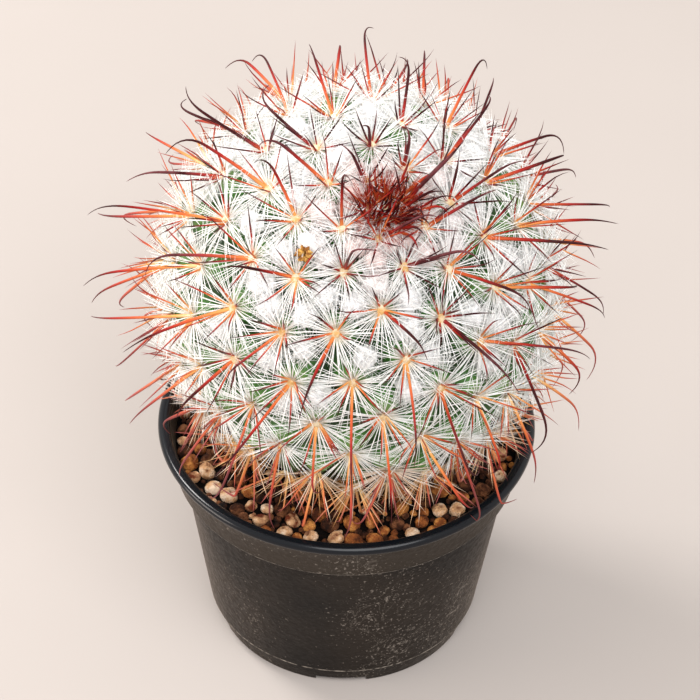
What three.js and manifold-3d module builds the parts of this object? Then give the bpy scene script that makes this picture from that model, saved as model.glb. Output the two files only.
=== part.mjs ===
// A round, hook-spined cactus in a 9 cm plastic nursery pot.
// Millimetres, +Z up. The origin is on the pot's axis, at the surface that the foot ring stands on.
// -Y is the front.

import * as THREE from 'three';
import { ConvexGeometry } from 'three/addons/geometries/ConvexGeometry.js';
import { mergeVertices } from 'three/addons/utils/BufferGeometryUtils.js';
import Module from 'manifold-3d';

const wasm = await Module();
wasm.setup();

// ---------------------------------------------------------------- driving dimensions

const GAP = 0.3; // clearance between pieces that touch
const WELD = 1e-4; // corners of one piece that are nearer than this are one corner
const SLIVER = 2e-3; // the same once pieces are joined, which closes up the slivers that joining leaves

const POT = {
  sides: 48,
  height: 58.8,
  rimRadius: 45,
  beadWidth: 2.9,
  beadHeight: 2.2,
  beadRound: 1.1,
  beadLip: 0.3, // how far the bead's foot and inner edge are eased off
  collarTopRadius: 43.1,
  stepRadius: 41.4,
  stepHeight: 46.8,
  stepDepth: 1.9,
  stepInside: [0.9, 1.6], // how far over the outer step the inner one starts and ends
  ledgeRadius: 33.6,
  ledgeHeight: 5.6,
  ledgeDepth: 0.6,
  footRadius: 31.8,
  footWidth: 2.6,
  floorUnderside: 2,
  floorTop: 3.5,
  floorCorner: 2, // height of the slope between the floor and the wall
  wall: 1.3,
};
const NOTCH = { count: 5, width: 12.4, height: 1.5, depth: 8 }; // openings in the foot ring
const DRAIN = { count: 5, radius: 3, sides: 12, circle: 21, length: 8 }; // holes in the floor

const SOIL = { sides: 30, edgeHeight: 54, domeRise: 0.6, shoulder: 28 };
const GRIT = {
  count: 74,
  radius: 2.1,
  spread: 0.3,
  inner: 22.5,
  outer: 38.6,
  raised: 0.2, // how far the middle of a granule stands over the fine soil, as a share of its radius
  shape: [1, 0.9, 0.82],
};

const CROWN = { radius: 14, sides: 20, depth: 12 }; // the root crown, in its plain hole

const GLOBE = {
  centre: new THREE.Vector3(2, 0, 100),
  areoleRadius: 43.5, // from the centre to the areoles on the tubercle tips
  depth: 47, // the same below the centre, where the globe is fuller and sits into the grit
  fullness: 2.15, // 2 is round, more is squarer, below the centre
  tubercle: 3.9, // height of a full-grown tubercle over the valley
  toValley: 0.56, // from a tubercle's middle to its valley, as a share of the spacing
  flatTop: 0.34, // how much of that way is flat
  tilt: 30.4, // degrees that the growing point leans from +Z
  heading: -75.7, // degrees from +X towards which it leans
};

const SPIRAL = {
  angle: 137.508, // degrees from one tubercle to the next
  start: 75.5,
  turn: -1,
  cell: 154, // square millimetres of skin for a full-grown tubercle
  crowding: 10.2, // how many tubercles the crowded growing point takes up
  maturing: 14, // how many tubercles on a spine has grown to most of its length
  count: 163,
  padSides: 5, // corners of the flat pad on a tubercle's tip
  padShare: 0.17, // the pad's radius, as a share of the spacing
  lowestPad: 59, // areoles below this height have no pad
  lowestSpine: 63, // areoles below this height carry no spines
};

const REACH = 61; // the furthest that a spine stands from the pot's axis
const HEADROOM = 151; // the highest that a spine stands
const CLEAR = { grit: 3.4, rim: 6.2, from: 33, to: 38 }; // how far over the fill's edge spines pass

// Spines: radius at the base and at the hook, length, and lean from the areole's normal in degrees.
const LONG = { base: 0.5, tip: 0.22, young: 14, grown: [21, 29], youngLean: 24, lean: 50, bow: 12 };
const LONG_RINGS = [0, 0.6, 0.82, 1]; // where a long spine has a ring of corners, as shares of its course
const HOOK = { arc: 6, share: 0.42, young: 120, grown: 20, stray: 70 }; // least length, share and degrees
const SHORT = { base: 0.42, length: [7, 11], lean: [24, 50] };
const RADIAL = { base: 0.28, length: [8.5, 11], lean: 66, turns: [64, -64, 118] };
const TUFT = { count: 22, base: 0.45, length: [5, 9], lean: [6, 32], spread: 5.5 };
const ROOT = { long: 2.5, short: 2, radial: 1.5 }; // how far back a spine starts inside the tubercle
const APART = 1; // spines that would pass closer than this to another are left out

// The long spines that stand out at the front, by areole: the turn from the way away from the growing
// point and the hook, in degrees, and the length. The young ones also have their own lean and swing.
const NOTED = {
  3: { turn: 4, lean: 38, length: 19, hook: 61, swing: 24 },
  4: { turn: 130, lean: 44, length: 15, hook: 89, swing: 99 },
  5: { turn: 55, lean: 13, length: 19, hook: 95, swing: 19 },
  6: { turn: 47, lean: 29, length: 19, hook: 79, swing: 50 },
  7: { turn: -118, lean: 39, length: 19, hook: 99, swing: 98 },
  8: { turn: 52, lean: 5, length: 19, hook: 90, swing: 45 },
  9: { turn: 96, lean: 41, length: 19, hook: 90, swing: 42 },
  11: { turn: 23, lean: 28, length: 20, hook: 64, swing: 6 },
  12: { turn: -172, lean: 15, length: 20, hook: 91, swing: 116 },
  13: { turn: 147, lean: 2, length: 19, hook: 58, swing: 122 },
  14: { turn: 20, length: 22, hook: 70 },
  15: { turn: -85, length: 18, hook: 110 },
  17: { turn: 60, length: 16, hook: 30 },
  19: { turn: 0, length: 28, hook: 40 },
  20: { turn: -55, length: 17, hook: 60 },
  22: { turn: 25, length: 34, hook: 15 },
  25: { turn: -10, length: 21, hook: 5 },
  27: { turn: 35, length: 22, hook: 90 },
  28: { turn: -25, length: 26, hook: 80 },
  30: { turn: 0, length: 29, hook: 10 },
  32: { turn: 10, length: 24, hook: 10 },
  33: { turn: -15, length: 17, hook: 90 },
  35: { turn: 60, length: 28, hook: 60 },
  36: { turn: -10, length: 34, hook: 50 },
  38: { turn: 10, length: 26, hook: 10 },
  41: { turn: -20, length: 34, hook: 10 },
  43: { turn: -5, length: 27, hook: 150 },
  46: { turn: -10, length: 27, hook: 20 },
  49: { turn: -15, length: 30, hook: 35 },
  51: { turn: 10, length: 24, hook: 10 },
  54: { turn: -5, length: 20, hook: 40 },
  57: { turn: 5, length: 28, hook: 40 },
  59: { turn: 15, length: 20, hook: 110 },
  62: { turn: -30, length: 29, hook: 40 },
  70: { turn: 5, length: 28, hook: 30 },
};

// ---------------------------------------------------------------- small helpers

const UP = new THREE.Vector3(0, 0, 1);
const COURSE_STEPS = 24; // points along a spine's course
const rad = THREE.MathUtils.degToRad;
const mix = (range, t) => range[0] + (range[1] - range[0]) * t;

/** A repeatable number from 0 to 1 for item n and draw k. */
function draw(n, k) {
  const s = Math.sin(n * 12.9898 + k * 78.233 + 0.5) * 43758.5453;
  return s - Math.floor(s);
}

/** A closed three.js geometry as a solid that can be joined and cut. */
function solid(geometry, weld = WELD) {
  const bare = geometry.index ? geometry.toNonIndexed() : geometry.clone();
  bare.deleteAttribute('normal');
  bare.deleteAttribute('uv');
  const merged = mergeVertices(bare, weld);
  const index = merged.index.array;
  const triVerts = [];
  for (let i = 0; i < index.length; i += 3) {
    const [a, b, c] = [index[i], index[i + 1], index[i + 2]];
    if (a !== b && b !== c && c !== a) triVerts.push(a, b, c);
  }
  const mesh = new wasm.Mesh({
    numProp: 3,
    vertProperties: Float32Array.from(merged.attributes.position.array),
    triVerts: Uint32Array.from(triVerts),
  });
  mesh.merge();
  return new wasm.Manifold(mesh);
}

/** One solid from many, joined pair by pair. */
function fuse(solids) {
  let row = solids;
  while (row.length > 1) {
    const next = [];
    for (let i = 0; i < row.length; i += 2) next.push(i + 1 < row.length ? row[i].add(row[i + 1]) : row[i]);
    row = next;
  }
  return row[0];
}

/** The three.js geometry of a solid. */
function geometryOf(body) {
  const mesh = body.getMesh();
  const geometry = new THREE.BufferGeometry();
  geometry.setAttribute('position', new THREE.BufferAttribute(Float32Array.from(mesh.vertProperties), 3));
  geometry.setIndex(new THREE.BufferAttribute(Uint32Array.from(mesh.triVerts), 1));
  geometry.computeVertexNormals();
  return geometry;
}

/** A solid of revolution about +Z from [radius, height] points. */
function turned(points, sides) {
  const lathe = new THREE.LatheGeometry(points.map(([r, z]) => new THREE.Vector2(r, z)), sides);
  return solid(lathe.rotateX(Math.PI / 2));
}

/** A mesh of the object from one finished solid. */
function named(name, body, colour, roughness) {
  const geometry = geometryOf(solid(geometryOf(body), SLIVER));
  const material = new THREE.MeshStandardMaterial({ color: colour, roughness, metalness: 0 });
  const mesh = new THREE.Mesh(geometry, material);
  mesh.name = name;
  return mesh;
}

// ---------------------------------------------------------------- pot

/** The outside radius of the plain wall at a height. */
function wallRadius(z) {
  const top = POT.stepRadius - POT.stepDepth;
  const t = (z - POT.ledgeHeight) / (POT.stepHeight - POT.ledgeHeight);
  return THREE.MathUtils.lerp(POT.ledgeRadius, top, t);
}

/** The inside of the pot, from the floor up to the bead, as [radius, height] points. */
function potInside() {
  const beadInner = POT.rimRadius - POT.beadWidth;
  const beadFoot = POT.height - POT.beadHeight;
  const cornerRadius = wallRadius(POT.floorTop + POT.floorCorner) - POT.wall;
  return [
    [cornerRadius - 0.7 * POT.floorCorner, POT.floorTop],
    [cornerRadius, POT.floorTop + POT.floorCorner],
    [wallRadius(POT.stepHeight) - POT.wall, POT.stepHeight + POT.stepInside[0]],
    [POT.stepRadius - POT.wall, POT.stepHeight + POT.stepInside[1]],
    [beadInner, beadFoot],
  ];
}

/** The inside radius of the collar at a height. */
function collarInside(z) {
  const [[foot, low], [top, high]] = potInside().slice(3);
  return THREE.MathUtils.mapLinear(z, low, high, foot, top);
}

/** The bead's section, from its outer foot over the top to its inner edge. */
function beadSection() {
  const foot = POT.height - POT.beadHeight;
  const round = POT.beadRound;
  const inner = POT.rimRadius - POT.beadWidth;
  const points = [[POT.collarTopRadius, foot], [POT.rimRadius - POT.beadLip, foot + POT.beadLip]];
  for (const degrees of [0, 30, 60, 90]) {
    const r = POT.rimRadius - round + round * Math.cos(rad(degrees));
    points.push([r, POT.height - round + round * Math.sin(rad(degrees))]);
  }
  points.push([inner + 0.7, POT.height - POT.beadLip], [inner, POT.height - POT.beadRound]);
  return points;
}

function buildPot() {
  const foot = POT.footRadius;
  const outline = [
    [0, POT.floorUnderside],
    [foot - POT.footWidth - 0.8, POT.floorUnderside],
    [foot - POT.footWidth, 0],
    [foot, 0],
    [POT.ledgeRadius - POT.ledgeDepth, POT.ledgeHeight - 0.2],
    [POT.ledgeRadius, POT.ledgeHeight],
    [wallRadius(POT.stepHeight), POT.stepHeight],
    [POT.stepRadius, POT.stepHeight + 0.3],
    ...beadSection(),
    ...potInside().reverse(),
    [0, POT.floorTop],
  ];
  let pot = turned(outline, POT.sides);
  for (let i = 0; i < NOTCH.count; i++) {
    const notch = new THREE.BoxGeometry(NOTCH.width, NOTCH.depth, NOTCH.height * 2);
    notch.translate(0, -foot, 0).rotateZ((i * 2 * Math.PI) / NOTCH.count);
    pot = pot.subtract(solid(notch));
  }
  for (let i = 0; i < DRAIN.count; i++) {
    const hole = new THREE.CylinderGeometry(DRAIN.radius, DRAIN.radius, DRAIN.length, DRAIN.sides);
    hole.rotateX(Math.PI / 2).translate(0, -DRAIN.circle, POT.floorTop);
    pot = pot.subtract(solid(hole.rotateZ(((i + 0.5) * 2 * Math.PI) / DRAIN.count)));
  }
  return pot;
}

// ---------------------------------------------------------------- soil

/** The height of the fine soil between the granules, at a distance from the axis. */
function soilHeight(radius) {
  return SOIL.edgeHeight + SOIL.domeRise * (1 - (radius / POT.rimRadius) ** 2);
}

/** One granule: a many-faced pebble, a little flattened and turned. */
function granule(n) {
  const share = (n + 0.5) / GRIT.count;
  const ring = Math.sqrt(THREE.MathUtils.lerp(GRIT.inner ** 2, GRIT.outer ** 2, share));
  const angle = n * rad(SPIRAL.angle);
  const size = GRIT.radius * (1 + GRIT.spread * (draw(n, 31) - 0.5));
  const pebble = new THREE.IcosahedronGeometry(size, 0);
  pebble.scale(...GRIT.shape).rotateX(draw(n, 32) * Math.PI).rotateZ(draw(n, 33) * Math.PI);
  pebble.translate(ring * Math.cos(angle), ring * Math.sin(angle), soilHeight(ring) + size * GRIT.raised);
  return solid(pebble);
}

function buildSoil() {
  const wallSide = potInside().slice(0, 4).map(([r, z]) => [r - GAP, Math.max(z, POT.floorTop + GAP)]);
  const holeRadius = CROWN.radius + GAP;
  const holeFloor = SOIL.edgeHeight - CROWN.depth;
  const edge = collarInside(SOIL.edgeHeight - 0.4) - GAP;
  const outline = [
    [0, POT.floorTop + GAP],
    ...wallSide,
    [edge, SOIL.edgeHeight - 0.4],
    [edge - 1, soilHeight(edge)],
    [SOIL.shoulder, soilHeight(SOIL.shoulder)],
    [holeRadius + 1, soilHeight(holeRadius)],
    [holeRadius, soilHeight(holeRadius) - 1],
    [holeRadius, holeFloor],
    [0, holeFloor],
  ];
  const granules = [];
  for (let n = 0; n < GRIT.count; n++) granules.push(granule(n));
  return fuse([turned(outline, SOIL.sides), ...granules]);
}

// ---------------------------------------------------------------- cactus: the globe

/** The axis of growth and the two directions across it. */
function growthFrame() {
  const axis = new THREE.Vector3(0, 0, 1).applyAxisAngle(new THREE.Vector3(0, 1, 0), rad(GLOBE.tilt));
  axis.applyAxisAngle(UP, rad(GLOBE.heading));
  const across = new THREE.Vector3().crossVectors(UP, axis).normalize();
  const along = new THREE.Vector3().crossVectors(axis, across);
  return { axis, across, along };
}

/** The distance from the globe's centre to its areoles, in a direction. */
function globeReach(direction) {
  if (direction.z >= 0) return GLOBE.areoleRadius;
  const p = GLOBE.fullness;
  const level = Math.hypot(direction.x, direction.y) / GLOBE.areoleRadius;
  const down = -direction.z / GLOBE.depth;
  return (level ** p + down ** p) ** (-1 / p);
}

/** The areoles in the order they grew: the place, the outward normal and the way from the growing point. */
function areoles() {
  const { axis, across, along } = growthFrame();
  const sphere = 4 * Math.PI * GLOBE.areoleRadius ** 2;
  const list = [];
  for (let n = 0; n < SPIRAL.count; n++) {
    const young = Math.exp(-(n + 0.5) / SPIRAL.crowding);
    const skin = (SPIRAL.cell * (n + 0.5 - SPIRAL.crowding * (1 - young))) / sphere;
    const polar = Math.acos(THREE.MathUtils.clamp(1 - 2 * skin, -1, 1));
    const turn = rad(SPIRAL.start) + SPIRAL.turn * n * rad(SPIRAL.angle);
    const outwards = across.clone().multiplyScalar(Math.cos(turn)).addScaledVector(along, Math.sin(turn));
    const normal = axis.clone().multiplyScalar(Math.cos(polar)).addScaledVector(outwards, Math.sin(polar));
    const away = outwards.multiplyScalar(Math.cos(polar)).addScaledVector(axis, -Math.sin(polar));
    const reach = globeReach(normal);
    list.push({
      index: n,
      normal,
      reach,
      away,
      side: new THREE.Vector3().crossVectors(normal, away),
      spacing: Math.sqrt(SPIRAL.cell * (1 - young)),
      age: 1 - Math.exp(-(n + 0.5) / SPIRAL.maturing),
      place: GLOBE.centre.clone().addScaledVector(normal, reach),
    });
  }
  return list;
}

const hasPad = (areole) => areole.spacing > 6 && areole.place.z > SPIRAL.lowestPad;

/** The distance from the centre to the skin in a direction: flat on each tubercle, sloping to the valleys. */
function skinRadius(direction, list) {
  let nearest = list[0];
  let best = -1;
  for (const areole of list) {
    const dot = areole.normal.dot(direction);
    if (dot > best) [best, nearest] = [dot, areole];
  }
  const distance = GLOBE.areoleRadius * Math.acos(Math.min(1, best));
  const fall = THREE.MathUtils.smoothstep(distance / (GLOBE.toValley * nearest.spacing), GLOBE.flatTop, 1);
  const height = GLOBE.tubercle * Math.min(1, nearest.spacing / Math.sqrt(SPIRAL.cell));
  const pad = nearest.reach / Math.max(best, 0.98);
  return THREE.MathUtils.lerp(pad, globeReach(direction), fall) - height * fall;
}

/** The corners of the flat pad on a tubercle's tip, as directions. */
function padCorners(areole) {
  const corners = [];
  const offset = (SPIRAL.padShare * areole.spacing) / GLOBE.areoleRadius;
  for (let k = 0; k < SPIRAL.padSides; k++) {
    const turn = (k * 2 * Math.PI) / SPIRAL.padSides + areole.index;
    const point = areole.normal.clone().addScaledVector(areole.away, offset * Math.cos(turn));
    corners.push(point.addScaledVector(areole.side, offset * Math.sin(turn)).normalize());
  }
  return corners;
}

/** The globe: a net of pads and valley points, raised by the formula above. */
function buildGlobe(list) {
  const hull = new ConvexGeometry(list.map((areole) => areole.normal)).attributes.position;
  const net = [];
  for (let i = 0; i < hull.count; i += 3) {
    const middle = new THREE.Vector3();
    for (let k = 0; k < 3; k++) middle.add(new THREE.Vector3().fromBufferAttribute(hull, i + k));
    net.push(middle.normalize());
  }
  for (const areole of list) {
    if (hasPad(areole)) net.push(...padCorners(areole));
    else net.push(areole.normal);
  }
  const skin = new ConvexGeometry(net);
  const place = skin.attributes.position;
  for (let i = 0; i < place.count; i++) {
    const direction = new THREE.Vector3().fromBufferAttribute(place, i).normalize();
    const point = GLOBE.centre.clone().addScaledVector(direction, skinRadius(direction, list));
    place.setXYZ(i, point.x, point.y, point.z);
  }
  return solid(skin);
}

function buildCrown() {
  const bottom = SOIL.edgeHeight - CROWN.depth + GAP;
  const top = GLOBE.centre.z - GLOBE.depth + 12;
  const chamfer = [[CROWN.radius - 1, bottom], [CROWN.radius, bottom + 1]];
  return turned([[0, bottom], ...chamfer, [CROWN.radius, top], [0, top]], CROWN.sides);
}

// ---------------------------------------------------------------- cactus: the spines

/** The lowest that a spine may pass at a distance from the axis, over the grit and the rim. */
function clearHeight(radius) {
  const outwards = THREE.MathUtils.clamp((radius - CLEAR.from) / (CLEAR.to - CLEAR.from), 0, 1);
  return SOIL.edgeHeight + mix([CLEAR.grit, CLEAR.rim], outwards);
}

/**
 * The course of a spine: out of its areole with a slight bow, easing into a hook at the end.
 * turn is measured round the areole from the way away from the growing point, lean from its normal, in
 * degrees. hook is how far the end turns, and swing says to which side. back is the sunk length.
 */
function spineCourse(areole, { turn, lean, length, back, bow = 0, hook = 0, swing = 0, offset = 0.8 }) {
  const sideways = areole.away.clone().multiplyScalar(Math.cos(rad(turn)));
  sideways.addScaledVector(areole.side, Math.sin(rad(turn)));
  const heading = areole.normal.clone().multiplyScalar(Math.cos(rad(lean)));
  heading.addScaledVector(sideways, Math.sin(rad(lean))).normalize();
  const bendTo = areole.away.clone().addScaledVector(heading, -areole.away.dot(heading)).normalize();
  bendTo.applyAxisAngle(heading, rad(swing));
  const hinge = new THREE.Vector3().crossVectors(heading, bendTo).normalize();
  const place = areole.place.clone().addScaledVector(sideways, offset).addScaledVector(heading, -back);
  const arc = Math.max(HOOK.arc, HOOK.share * length);
  const points = [place.clone()];
  for (let i = 0; i < COURSE_STEPS; i++) {
    const share = (i + 0.5) / COURSE_STEPS;
    const fromTip = (1 - share) * (length + back);
    const bend = bow * share + hook * (1 - THREE.MathUtils.smoothstep(fromTip, 0, arc));
    const way = heading.clone().applyAxisAngle(hinge, rad(bend));
    place.addScaledVector(way, (length + back) / COURSE_STEPS);
    points.push(place.clone());
  }
  return points;
}

/** Keeps a course inside the plant's reach and clear of the grit and the rim. */
function keepClear(points) {
  const root = points[0].clone();
  const rootReach = Math.hypot(root.x, root.y);
  const furthest = Math.max(...points.map((point) => Math.hypot(point.x, point.y)));
  const highest = Math.max(...points.map((point) => point.z));
  let scale = 1;
  if (furthest > REACH) scale = Math.min(scale, (REACH - rootReach) / (furthest - rootReach));
  if (highest > HEADROOM) scale = Math.min(scale, (HEADROOM - root.z) / (highest - root.z));
  for (const point of points) {
    point.sub(root).multiplyScalar(scale).add(root);
    point.z = Math.max(point.z, clearHeight(Math.hypot(point.x, point.y)));
  }
  return points;
}

/** A three-sided spine along a course, from its sunk root to its point. */
function spine(points, shares, base, tip) {
  const at = shares.map((share) => points[Math.round(share * COURSE_STEPS)]);
  const rings = at.length - 1;
  const corners = [];
  let across = new THREE.Vector3().crossVectors(at[1].clone().sub(at[0]), new THREE.Vector3(0.3, -0.2, 1));
  for (let i = 0; i < rings; i++) {
    const way = at[i + 1].clone().sub(at[Math.max(i - 1, 0)]).normalize();
    across = across.addScaledVector(way, -across.dot(way)).normalize();
    const radius = THREE.MathUtils.lerp(base, tip, shares[i]);
    for (let k = 0; k < 3; k++) {
      const spoke = across.clone().applyAxisAngle(way, (k * 2 * Math.PI) / 3);
      corners.push(at[i].clone().addScaledVector(spoke, radius));
    }
  }
  corners.push(at[rings]);
  const faces = [0, 2, 1];
  for (let i = 0; i < rings - 1; i++) {
    for (let k = 0; k < 3; k++) {
      const [a, b] = [i * 3 + k, i * 3 + ((k + 1) % 3)];
      faces.push(a, b, b + 3, a, b + 3, a + 3);
    }
  }
  for (let k = 0; k < 3; k++) faces.push((rings - 1) * 3 + k, (rings - 1) * 3 + ((k + 1) % 3), rings * 3);
  const geometry = new THREE.BufferGeometry().setFromPoints(corners);
  geometry.setIndex(faces);
  return solid(geometry);
}

/** The long central of an areole, hooked at its tip, mostly pointing away from the growing point. */
function longCentral(areole) {
  const n = areole.index;
  const usualLean = mix([LONG.youngLean, LONG.lean], areole.age);
  const drawn = {
    turn: 56 * (draw(n, 1) - 0.5),
    lean: usualLean + 16 * (draw(n, 2) - 0.5),
    length: mix([LONG.young, mix(LONG.grown, draw(n, 3))], areole.age),
    hook: mix([HOOK.young, HOOK.grown], areole.age) + HOOK.stray * draw(n, 4),
  };
  const usual = { lean: usualLean, swing: 120 * (draw(n, 5) - 0.5), bow: LONG.bow, back: ROOT.long };
  return spineCourse(areole, { ...usual, ...(NOTED[n] ?? drawn) });
}

/** A straight, shorter central, on the side of the growing point. */
function shortCentral(areole) {
  const n = areole.index;
  return spineCourse(areole, {
    turn: 180 + 110 * (draw(n, 6) - 0.5),
    lean: mix(SHORT.lean, draw(n, 7)),
    length: mix(SHORT.length, draw(n, 8)),
    back: ROOT.short,
  });
}

/** A white radial spine, spread nearly flat beside the areole. */
function radial(areole, k) {
  return spineCourse(areole, {
    turn: RADIAL.turns[k] + 24 * (draw(areole.index, 10 + k) - 0.5),
    lean: RADIAL.lean,
    length: mix(RADIAL.length, draw(areole.index, 20 + k)) * Math.min(1, areole.spacing / 11),
    back: ROOT.radial,
    offset: 1.25,
  });
}

/** Whether a course passes too close to the spines already placed, past its own areole. */
function crosses(course, placed) {
  const open = course.slice(COURSE_STEPS / 4);
  return placed.some((other) => {
    if (other[0].distanceTo(course[0]) > 60) return false;
    return other.some((there) => open.some((here) => here.distanceTo(there) < APART));
  });
}

/** All spines outside the tuft: the long ones first, and then those that pass clear of them. */
function buildSpines(list) {
  const spined = list.filter((areole) => areole.place.z > SPIRAL.lowestSpine);
  const placed = [];
  const spines = [];
  for (const areole of spined.filter((one) => one.index > 2)) {
    const course = keepClear(longCentral(areole));
    placed.push(course);
    spines.push(spine(course, LONG_RINGS, LONG.base, LONG.tip));
  }
  const padded = spined.filter(hasPad);
  const others = padded.map((areole) => ({ course: shortCentral(areole), base: SHORT.base }));
  for (const areole of padded) {
    const count = areole.index % 4 ? RADIAL.turns.length - 1 : RADIAL.turns.length; // one in four has all
    for (let k = 0; k < count; k++) others.push({ course: radial(areole, k), base: RADIAL.base });
  }
  for (const { course, base } of others) {
    keepClear(course);
    if (crosses(course, placed)) continue;
    placed.push(course);
    spines.push(spine(course, [0, 1], base, 0));
  }
  return spines;
}

/** The young spines that stand close together at the growing point. */
function apexTuft() {
  const { axis, across, along } = growthFrame();
  const list = [];
  for (let n = 0; n < TUFT.count; n++) {
    const turn = n * rad(SPIRAL.angle);
    const out = TUFT.spread * Math.sqrt((n + 0.5) / TUFT.count);
    const sideways = across.clone().multiplyScalar(Math.cos(turn)).addScaledVector(along, Math.sin(turn));
    const normal = axis.clone().addScaledVector(sideways, out / GLOBE.areoleRadius).normalize();
    const areole = {
      normal,
      away: sideways.clone().addScaledVector(normal, -sideways.dot(normal)).normalize(),
      side: new THREE.Vector3().crossVectors(normal, sideways).normalize(),
      place: GLOBE.centre.clone().addScaledVector(normal, GLOBE.areoleRadius - 0.5),
    };
    const course = spineCourse(areole, {
      turn: 60 * (draw(n, 41) - 0.5),
      lean: mix(TUFT.lean, out / TUFT.spread),
      length: mix(TUFT.length, draw(n, 42)),
      back: ROOT.short,
      offset: 0,
    });
    list.push(spine(course, [0, 1], TUFT.base, 0));
  }
  return list;
}

function buildCactus() {
  const list = areoles();
  return fuse([buildGlobe(list), buildCrown(), ...apexTuft(), ...buildSpines(list)]);
}

// ---------------------------------------------------------------- the object

const object = new THREE.Group();
object.add(named('pot', buildPot(), 0x2b2926, 0.5));
object.add(named('soil', buildSoil(), 0x6e4a30, 0.9));
object.add(named('cactus', buildCactus(), 0xc9cdb4, 0.7));

export default object;
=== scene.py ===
"""The looks of a round, hook-spined cactus in a black nursery pot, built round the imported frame.

Shapes are worked out in millimetres and turned into metres where a mesh is made. +Z is up and -Y is the
front. The spiral of tubercles and the long spines follow the same rule as the part's own solids.
"""

import logging
import math
from dataclasses import dataclass, field
from enum import Enum

import bmesh
import bpy
import numpy as np
from mathutils import Matrix, Vector

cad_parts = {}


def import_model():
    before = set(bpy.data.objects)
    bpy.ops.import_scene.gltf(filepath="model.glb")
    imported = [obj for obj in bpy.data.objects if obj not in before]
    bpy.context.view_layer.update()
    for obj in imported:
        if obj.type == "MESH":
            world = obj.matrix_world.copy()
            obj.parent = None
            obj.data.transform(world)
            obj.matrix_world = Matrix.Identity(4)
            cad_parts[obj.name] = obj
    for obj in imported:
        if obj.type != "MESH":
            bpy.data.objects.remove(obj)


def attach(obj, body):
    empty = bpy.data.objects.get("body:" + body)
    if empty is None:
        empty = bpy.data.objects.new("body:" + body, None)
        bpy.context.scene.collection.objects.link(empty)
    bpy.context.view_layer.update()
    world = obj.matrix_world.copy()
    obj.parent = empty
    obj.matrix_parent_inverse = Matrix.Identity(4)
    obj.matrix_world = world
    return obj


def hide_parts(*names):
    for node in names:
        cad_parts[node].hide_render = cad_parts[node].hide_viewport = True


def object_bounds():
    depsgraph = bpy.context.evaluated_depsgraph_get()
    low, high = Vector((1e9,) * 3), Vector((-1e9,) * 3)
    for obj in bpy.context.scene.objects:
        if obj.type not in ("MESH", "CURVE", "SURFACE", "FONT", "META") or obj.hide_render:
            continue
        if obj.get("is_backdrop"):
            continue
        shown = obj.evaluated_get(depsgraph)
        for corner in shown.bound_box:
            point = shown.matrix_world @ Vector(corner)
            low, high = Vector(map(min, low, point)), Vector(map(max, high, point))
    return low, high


MM = 0.001
TAU = 2 * math.pi
BODY = "root"
Socket = bpy.types.NodeSocket
Material = bpy.types.Material
Piece = bpy.types.Object
Span = tuple[float, float]
log = logging.getLogger("potted_round_cactus")


# ---------------------------------------------------------------- numbers and directions


def draw(n: float, k: float) -> float:
    """A repeatable number from 0 to 1 for item n and draw k."""
    s = math.sin(n * 12.9898 + k * 78.233 + 0.5) * 43758.5453
    return s - math.floor(s)


def mix(low: float, high: float, t: float) -> float:
    """The value a share t of the way from low to high."""
    return low + (high - low) * t


def smoothstep(x: np.ndarray | float, low: float, high: float) -> np.ndarray | float:
    """Eases from 0 at low to 1 at high."""
    t = np.clip((x - low) / (high - low), 0.0, 1.0)
    return t * t * (3 - 2 * t)


def unit(v: np.ndarray) -> np.ndarray:
    """v, or each row of v, at length 1."""
    return v / np.linalg.norm(v, axis=-1, keepdims=True)


def even_turns(count: int) -> np.ndarray:
    """Angles that share a whole turn evenly, in radians."""
    return np.arange(count) * TAU / count


def turned_about(v: np.ndarray, axis: np.ndarray, angle: float) -> np.ndarray:
    """v turned about a unit axis by an angle in radians."""
    c, s = math.cos(angle), math.sin(angle)
    return v * c + np.cross(axis, v) * s + axis * (axis @ v) * (1 - c)


def paint(code: str) -> tuple[float, float, float, float]:
    """A colour in the shader's linear values.

    Args:
        code: the colour as six hexadecimal digits, as on a screen.

    Returns:
        Red, green, blue and an alpha of 1.
    """
    parts = [int(code[i:i + 2], 16) / 255 for i in (0, 2, 4)]
    linear = [p / 12.92 if p <= 0.04045 else ((p + 0.055) / 1.055) ** 2.4 for p in parts]
    return (*linear, 1.0)


# ---------------------------------------------------------------- meshes


@dataclass
class MeshDraft:
    """Vertices, faces and point values of a mesh, gathered bit by bit in millimetres."""

    points: list[np.ndarray] = field(default_factory=list)
    faces: list[np.ndarray] = field(default_factory=list)
    values: dict[str, list[np.ndarray]] = field(default_factory=dict)
    count: int = 0

    def add(self, points: np.ndarray, faces: np.ndarray, **values: np.ndarray | float) -> "MeshDraft":
        """Adds one lump of mesh.

        Args:
            points: its vertices, one row each.
            faces: its faces, numbered from its own first vertex.
            values: a number for each vertex, or one for all, by the name of their attribute.

        Returns:
            The draft itself.
        """
        self.points.append(points)
        self.faces.append(faces + self.count)
        for name, numbers in values.items():
            self.values.setdefault(name, []).append(np.broadcast_to(numbers, len(points)))
        self.count += len(points)
        return self

    def build(self, name: str, material: Material, slot: str, *nodes: str) -> Piece:
        """Makes the piece and ties it to the frame.

        Args:
            name: the piece's name.
            material: its finish.
            slot: the record's material slot that it stands for; not used.
            nodes: the nodes that it replaces.

        Returns:
            The piece.
        """
        mesh = bpy.data.meshes.new(name)
        faces = [face for block in self.faces for face in block.tolist()]
        mesh.from_pydata((np.vstack(self.points) * MM).tolist(), [], faces)
        for key, numbers in self.values.items():
            attribute = mesh.attributes.new(key, "FLOAT", "POINT")
            attribute.data.foreach_set("value", np.concatenate(numbers).astype(np.float32))
        mesh.shade_smooth()
        mesh.materials.append(material)
        mesh.update()
        piece = bpy.data.objects.new(name, mesh)
        bpy.context.scene.collection.objects.link(piece)
        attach(piece, BODY)
        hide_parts(*nodes)
        return piece


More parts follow.
